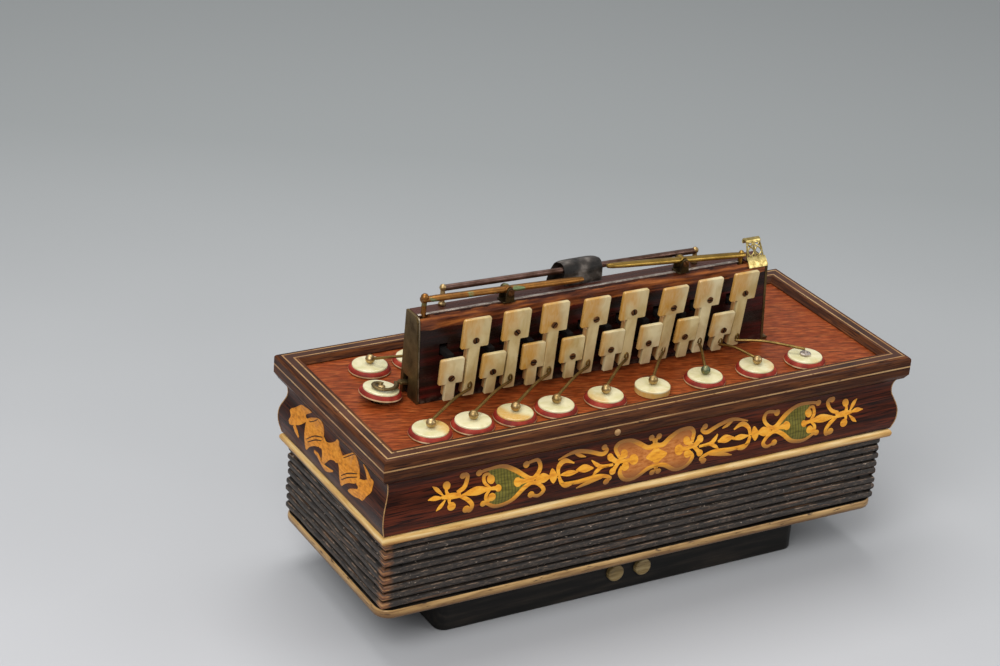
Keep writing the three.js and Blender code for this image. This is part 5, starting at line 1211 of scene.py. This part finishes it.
FRET_RAIL, FRET_LATTICE, FRET_RUNG = 0.55, 0.42, 0.6
fret_parts = [fret_bar(xs, FRET_RAIL) for xs in (fret_left, fret_middle, fret_right)]
for left, right in ((fret_left, fret_middle), (fret_middle, fret_right)):
    for sign in (-1, 1):
        sway = 0.5 + sign * 0.42 * np.cos(2 * np.pi * fret_up)
        fret_parts.append(fret_bar(left + (right - left) * sway, FRET_LATTICE, 0.1))
for level in (0, 24):
    rung = [[x, *fret_section[level]] for x in np.linspace(fret_left[level], fret_right[level], 7)]
    fret_parts.append(wire(rung, FRET_RUNG, 8))
curl_turn = np.linspace(np.pi, -0.25 * np.pi, 16)
curl_middle, curl_radius, sheet_half = (0.7, 164.2), 1.6, 0.35
curl_band = np.concatenate([arc(curl_turn, curl_radius + sheet_half, curl_middle),
                            arc(curl_turn, curl_radius - sheet_half, curl_middle)[::-1]])
curl_xs = np.linspace(fret_left[-1] - 0.6, fret_right[-1] + 0.6, 8)
foot_line = np.array([[-6.3, 152.0], [-5.7, 153.4], [-4.6, 154.9], [-3.5, 156.0], [-2.9, 156.6]])
foot_band = np.concatenate([foot_line + [-sheet_half, sheet_half], (foot_line + [sheet_half, -0.1])[::-1]])
foot_xs = np.linspace(82.4, 93.9, 8)
fret_parts += [body_of(drawn_along_x(curl_xs, curl_band)), body_of(drawn_along_x(foot_xs, foot_band))]
make_piece("brass_fret", fret_parts, [fret_brass], "case", ("fret_bracket",), sharp_degrees=50)

# %% [markdown]
# The board itself, its end plates and the soundboard are flat-sided, so the imported solids already have the
# right shape and only take their finish. A thin strip of white metal caps the board's front top edge, a
# bright metal bead along the left end plate's front edge is a painted highlight, and a small pale stud sits
# on the moulding in front.

# %% Finishes on the imported solids
for name, material in {
    "soundboard": soundboard_wood, "keyboard_board": board_finish, "end_plate_left": plate_brass,
    "end_plate_right": plate_brass, "reed_pan": pine, "reed_plate": reed_brass, "key_axle": pin_steel,
    "lower_key_pin": pin_steel, "plinth": ebonised,
}.items():
    for node_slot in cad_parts[name].material_slots:
        node_slot.material = material

STRIP_FRONT_Y, STRIP_BACK_Y, STRIP_STOPS_SHORT, EDGE_RADIUS = -2.75, -1.1, 12.6, 0.62
strip_end = BOARD_RIGHT - STRIP_STOPS_SHORT
strip = plate(box_outline(BOARD_LEFT, STRIP_FRONT_Y, strip_end, STRIP_BACK_Y), 0.5, 0.15)
strip = placed(strip, None, (0, 0, BOARD_TOP - 0.15))
make_piece("board_edge_strip", [strip], [grey_strip], "case")
# A bright metal bead along the left end plate's front edge: a painted highlight.
edge_points = ((-8.9, 112.4), (-7.2, 131.0), (-5.5, 152.2), (-3.4, 154.6))
bright_edge = spline([[BOARD_LEFT - 0.7, y, z] for y, z in edge_points], 24)
make_piece("end_plate_edge_painted_highlight", [wire(bright_edge, EDGE_RADIUS, 8, up=(1, 0, 0), flatten=0.7)],
           [highlight_brass], "case")
stud = placed(turned([(1.7, 0), (1.7, 0.5), (1.3, 0.9), (0.5, 1.1), (0.1, 1.1)], 20), TO_FRONT)
stud = placed(stud, None, (-26, -HALF_WIDTH - 2.5, 105.2))
make_piece("moulding_stud", [stud], [stringing], "case")

# %% Base buttons
button_profile = [(4.4, 0.0), (4.6, 0.3), (4.6, 5.7), (4.3, 6.1), (3.6, 6.3), (3.0, 6.1), (2.2, 5.95),
                  (0.4, 5.9)]
BUTTON_BACK_Y, BUTTON_Z = -38.0, 11.7
for side, x in (("left", -6.2), ("right", 10.1)):
    button = placed(turned(button_profile, 36), TO_FRONT, (x, BUTTON_BACK_Y, BUTTON_Z))
    make_piece(f"{side}_base_button", [button], [button_gilding], f"button_{side}",
               (f"base_button_{side}",))

# %% [markdown]
# Floor, light and camera. The floor is plain grey paper that loses light to the back and to the right. One
# large soft lamp stands to the left and front, a weaker one to the right and one above, and the world fills
# the shadows, so that colours come out as they are written. The camera stands where the photographer stood:
# its place was worked out from the corners of the case.

# %% Floor
floor_material, floor_place, tint = new_finish("matt_grey_paper", Grain(300, 2))
paper = add(floor_material, "ValToRGB", {0: tint}, stops=[(0.4, "#BBBBBD"), (0.6, "#C0C0C2")])
right, depth = (add(floor_material, "SeparateXYZ", {0: floor_place}, out) for out in (0, 1))
slant = add(floor_material, "Math", {0: right, 1: 0.6, 2: depth}, operation="MULTIPLY_ADD")
laid_up(floor_material, paper, [(slant, -0.25, 0.65, 1, "#9C9F9F")], None, {
    "Roughness": 0.7, "Specular IOR Level": 0.2})
floor_mesh = bpy.data.meshes.new("floor")
floor_mesh.from_pydata([(-4, -4, 0), (4, -4, 0), (4, 6, 0), (-4, 6, 0)], [], [(0, 1, 2, 3)])
floor_mesh.materials.append(floor_material)
floor = bpy.data.objects.new("floor", floor_mesh)
bpy.context.scene.collection.objects.link(floor)


# %% Light
LIT_POINT = np.array([0, 0, 0.08])


def stood(holder, right, up, back, place):
    """Puts a lamp or camera at its place, looking along the opposite of back."""
    rows = np.eye(4)
    rows[:3, 0], rows[:3, 1], rows[:3, 2], rows[:3, 3] = right, up, back, place
    bpy.context.scene.collection.objects.link(holder)
    holder.matrix_world = Matrix(rows.tolist())


def soft_lamp(name, place, size, power):
    """A rectangle of light that looks at a point just above the middle of the floor."""
    lamp = bpy.data.lights.new(name, "AREA")
    lamp.shape = "RECTANGLE"
    lamp.size, lamp.size_y = size
    lamp.energy = power
    back = unit(np.array(place, float) - LIT_POINT)
    right = unit(np.cross((0, 0, 1), back))
    stood(bpy.data.objects.new(name, lamp), right, np.cross(back, right), back, place)


soft_lamp("key_softbox", (-0.9, -0.7, 1.1), (0.9, 0.9), 14)
soft_lamp("fill_softbox", (1.1, -0.9, 0.8), (0.8, 0.8), 5)
soft_lamp("top_softbox", (0.0, 0.35, 1.3), (1.0, 0.7), 9.5)
world = bpy.data.worlds.new("studio")
world.use_nodes = True
world.node_tree.nodes["Background"].inputs["Color"].default_value = linear("#E9EBEE")
world.node_tree.nodes["Background"].inputs["Strength"].default_value = 0.48
bpy.context.scene.world = world
bpy.context.scene.view_settings.view_transform = "Standard"

# %% Camera
azimuth, elevation, roll = (math.radians(v) for v in (-31.239, 25.25, 4.507))
distance, focal_pixels, picture_width, aim = 1363.393, 2412.248, 1000, np.array([24.725, 139.354, 60.0])
level = np.array([math.cos(azimuth), math.sin(azimuth), 0.0])
view_back = np.array([math.sin(azimuth) * math.cos(elevation), -math.cos(azimuth) * math.cos(elevation),
                      math.sin(elevation)])
level_up = np.cross(view_back, level)
camera_data = bpy.data.cameras.new("camera")
camera_data.sensor_width = 36.0
camera_data.lens = camera_data.sensor_width * focal_pixels / picture_width
camera_data.clip_end = 20
camera = bpy.data.objects.new("camera", camera_data)
camera_right = math.cos(roll) * level + math.sin(roll) * level_up
camera_up = math.cos(roll) * level_up - math.sin(roll) * level
stood(camera, camera_right, camera_up, view_back, (aim + distance * view_back) * MM)
bpy.context.scene.camera = camera
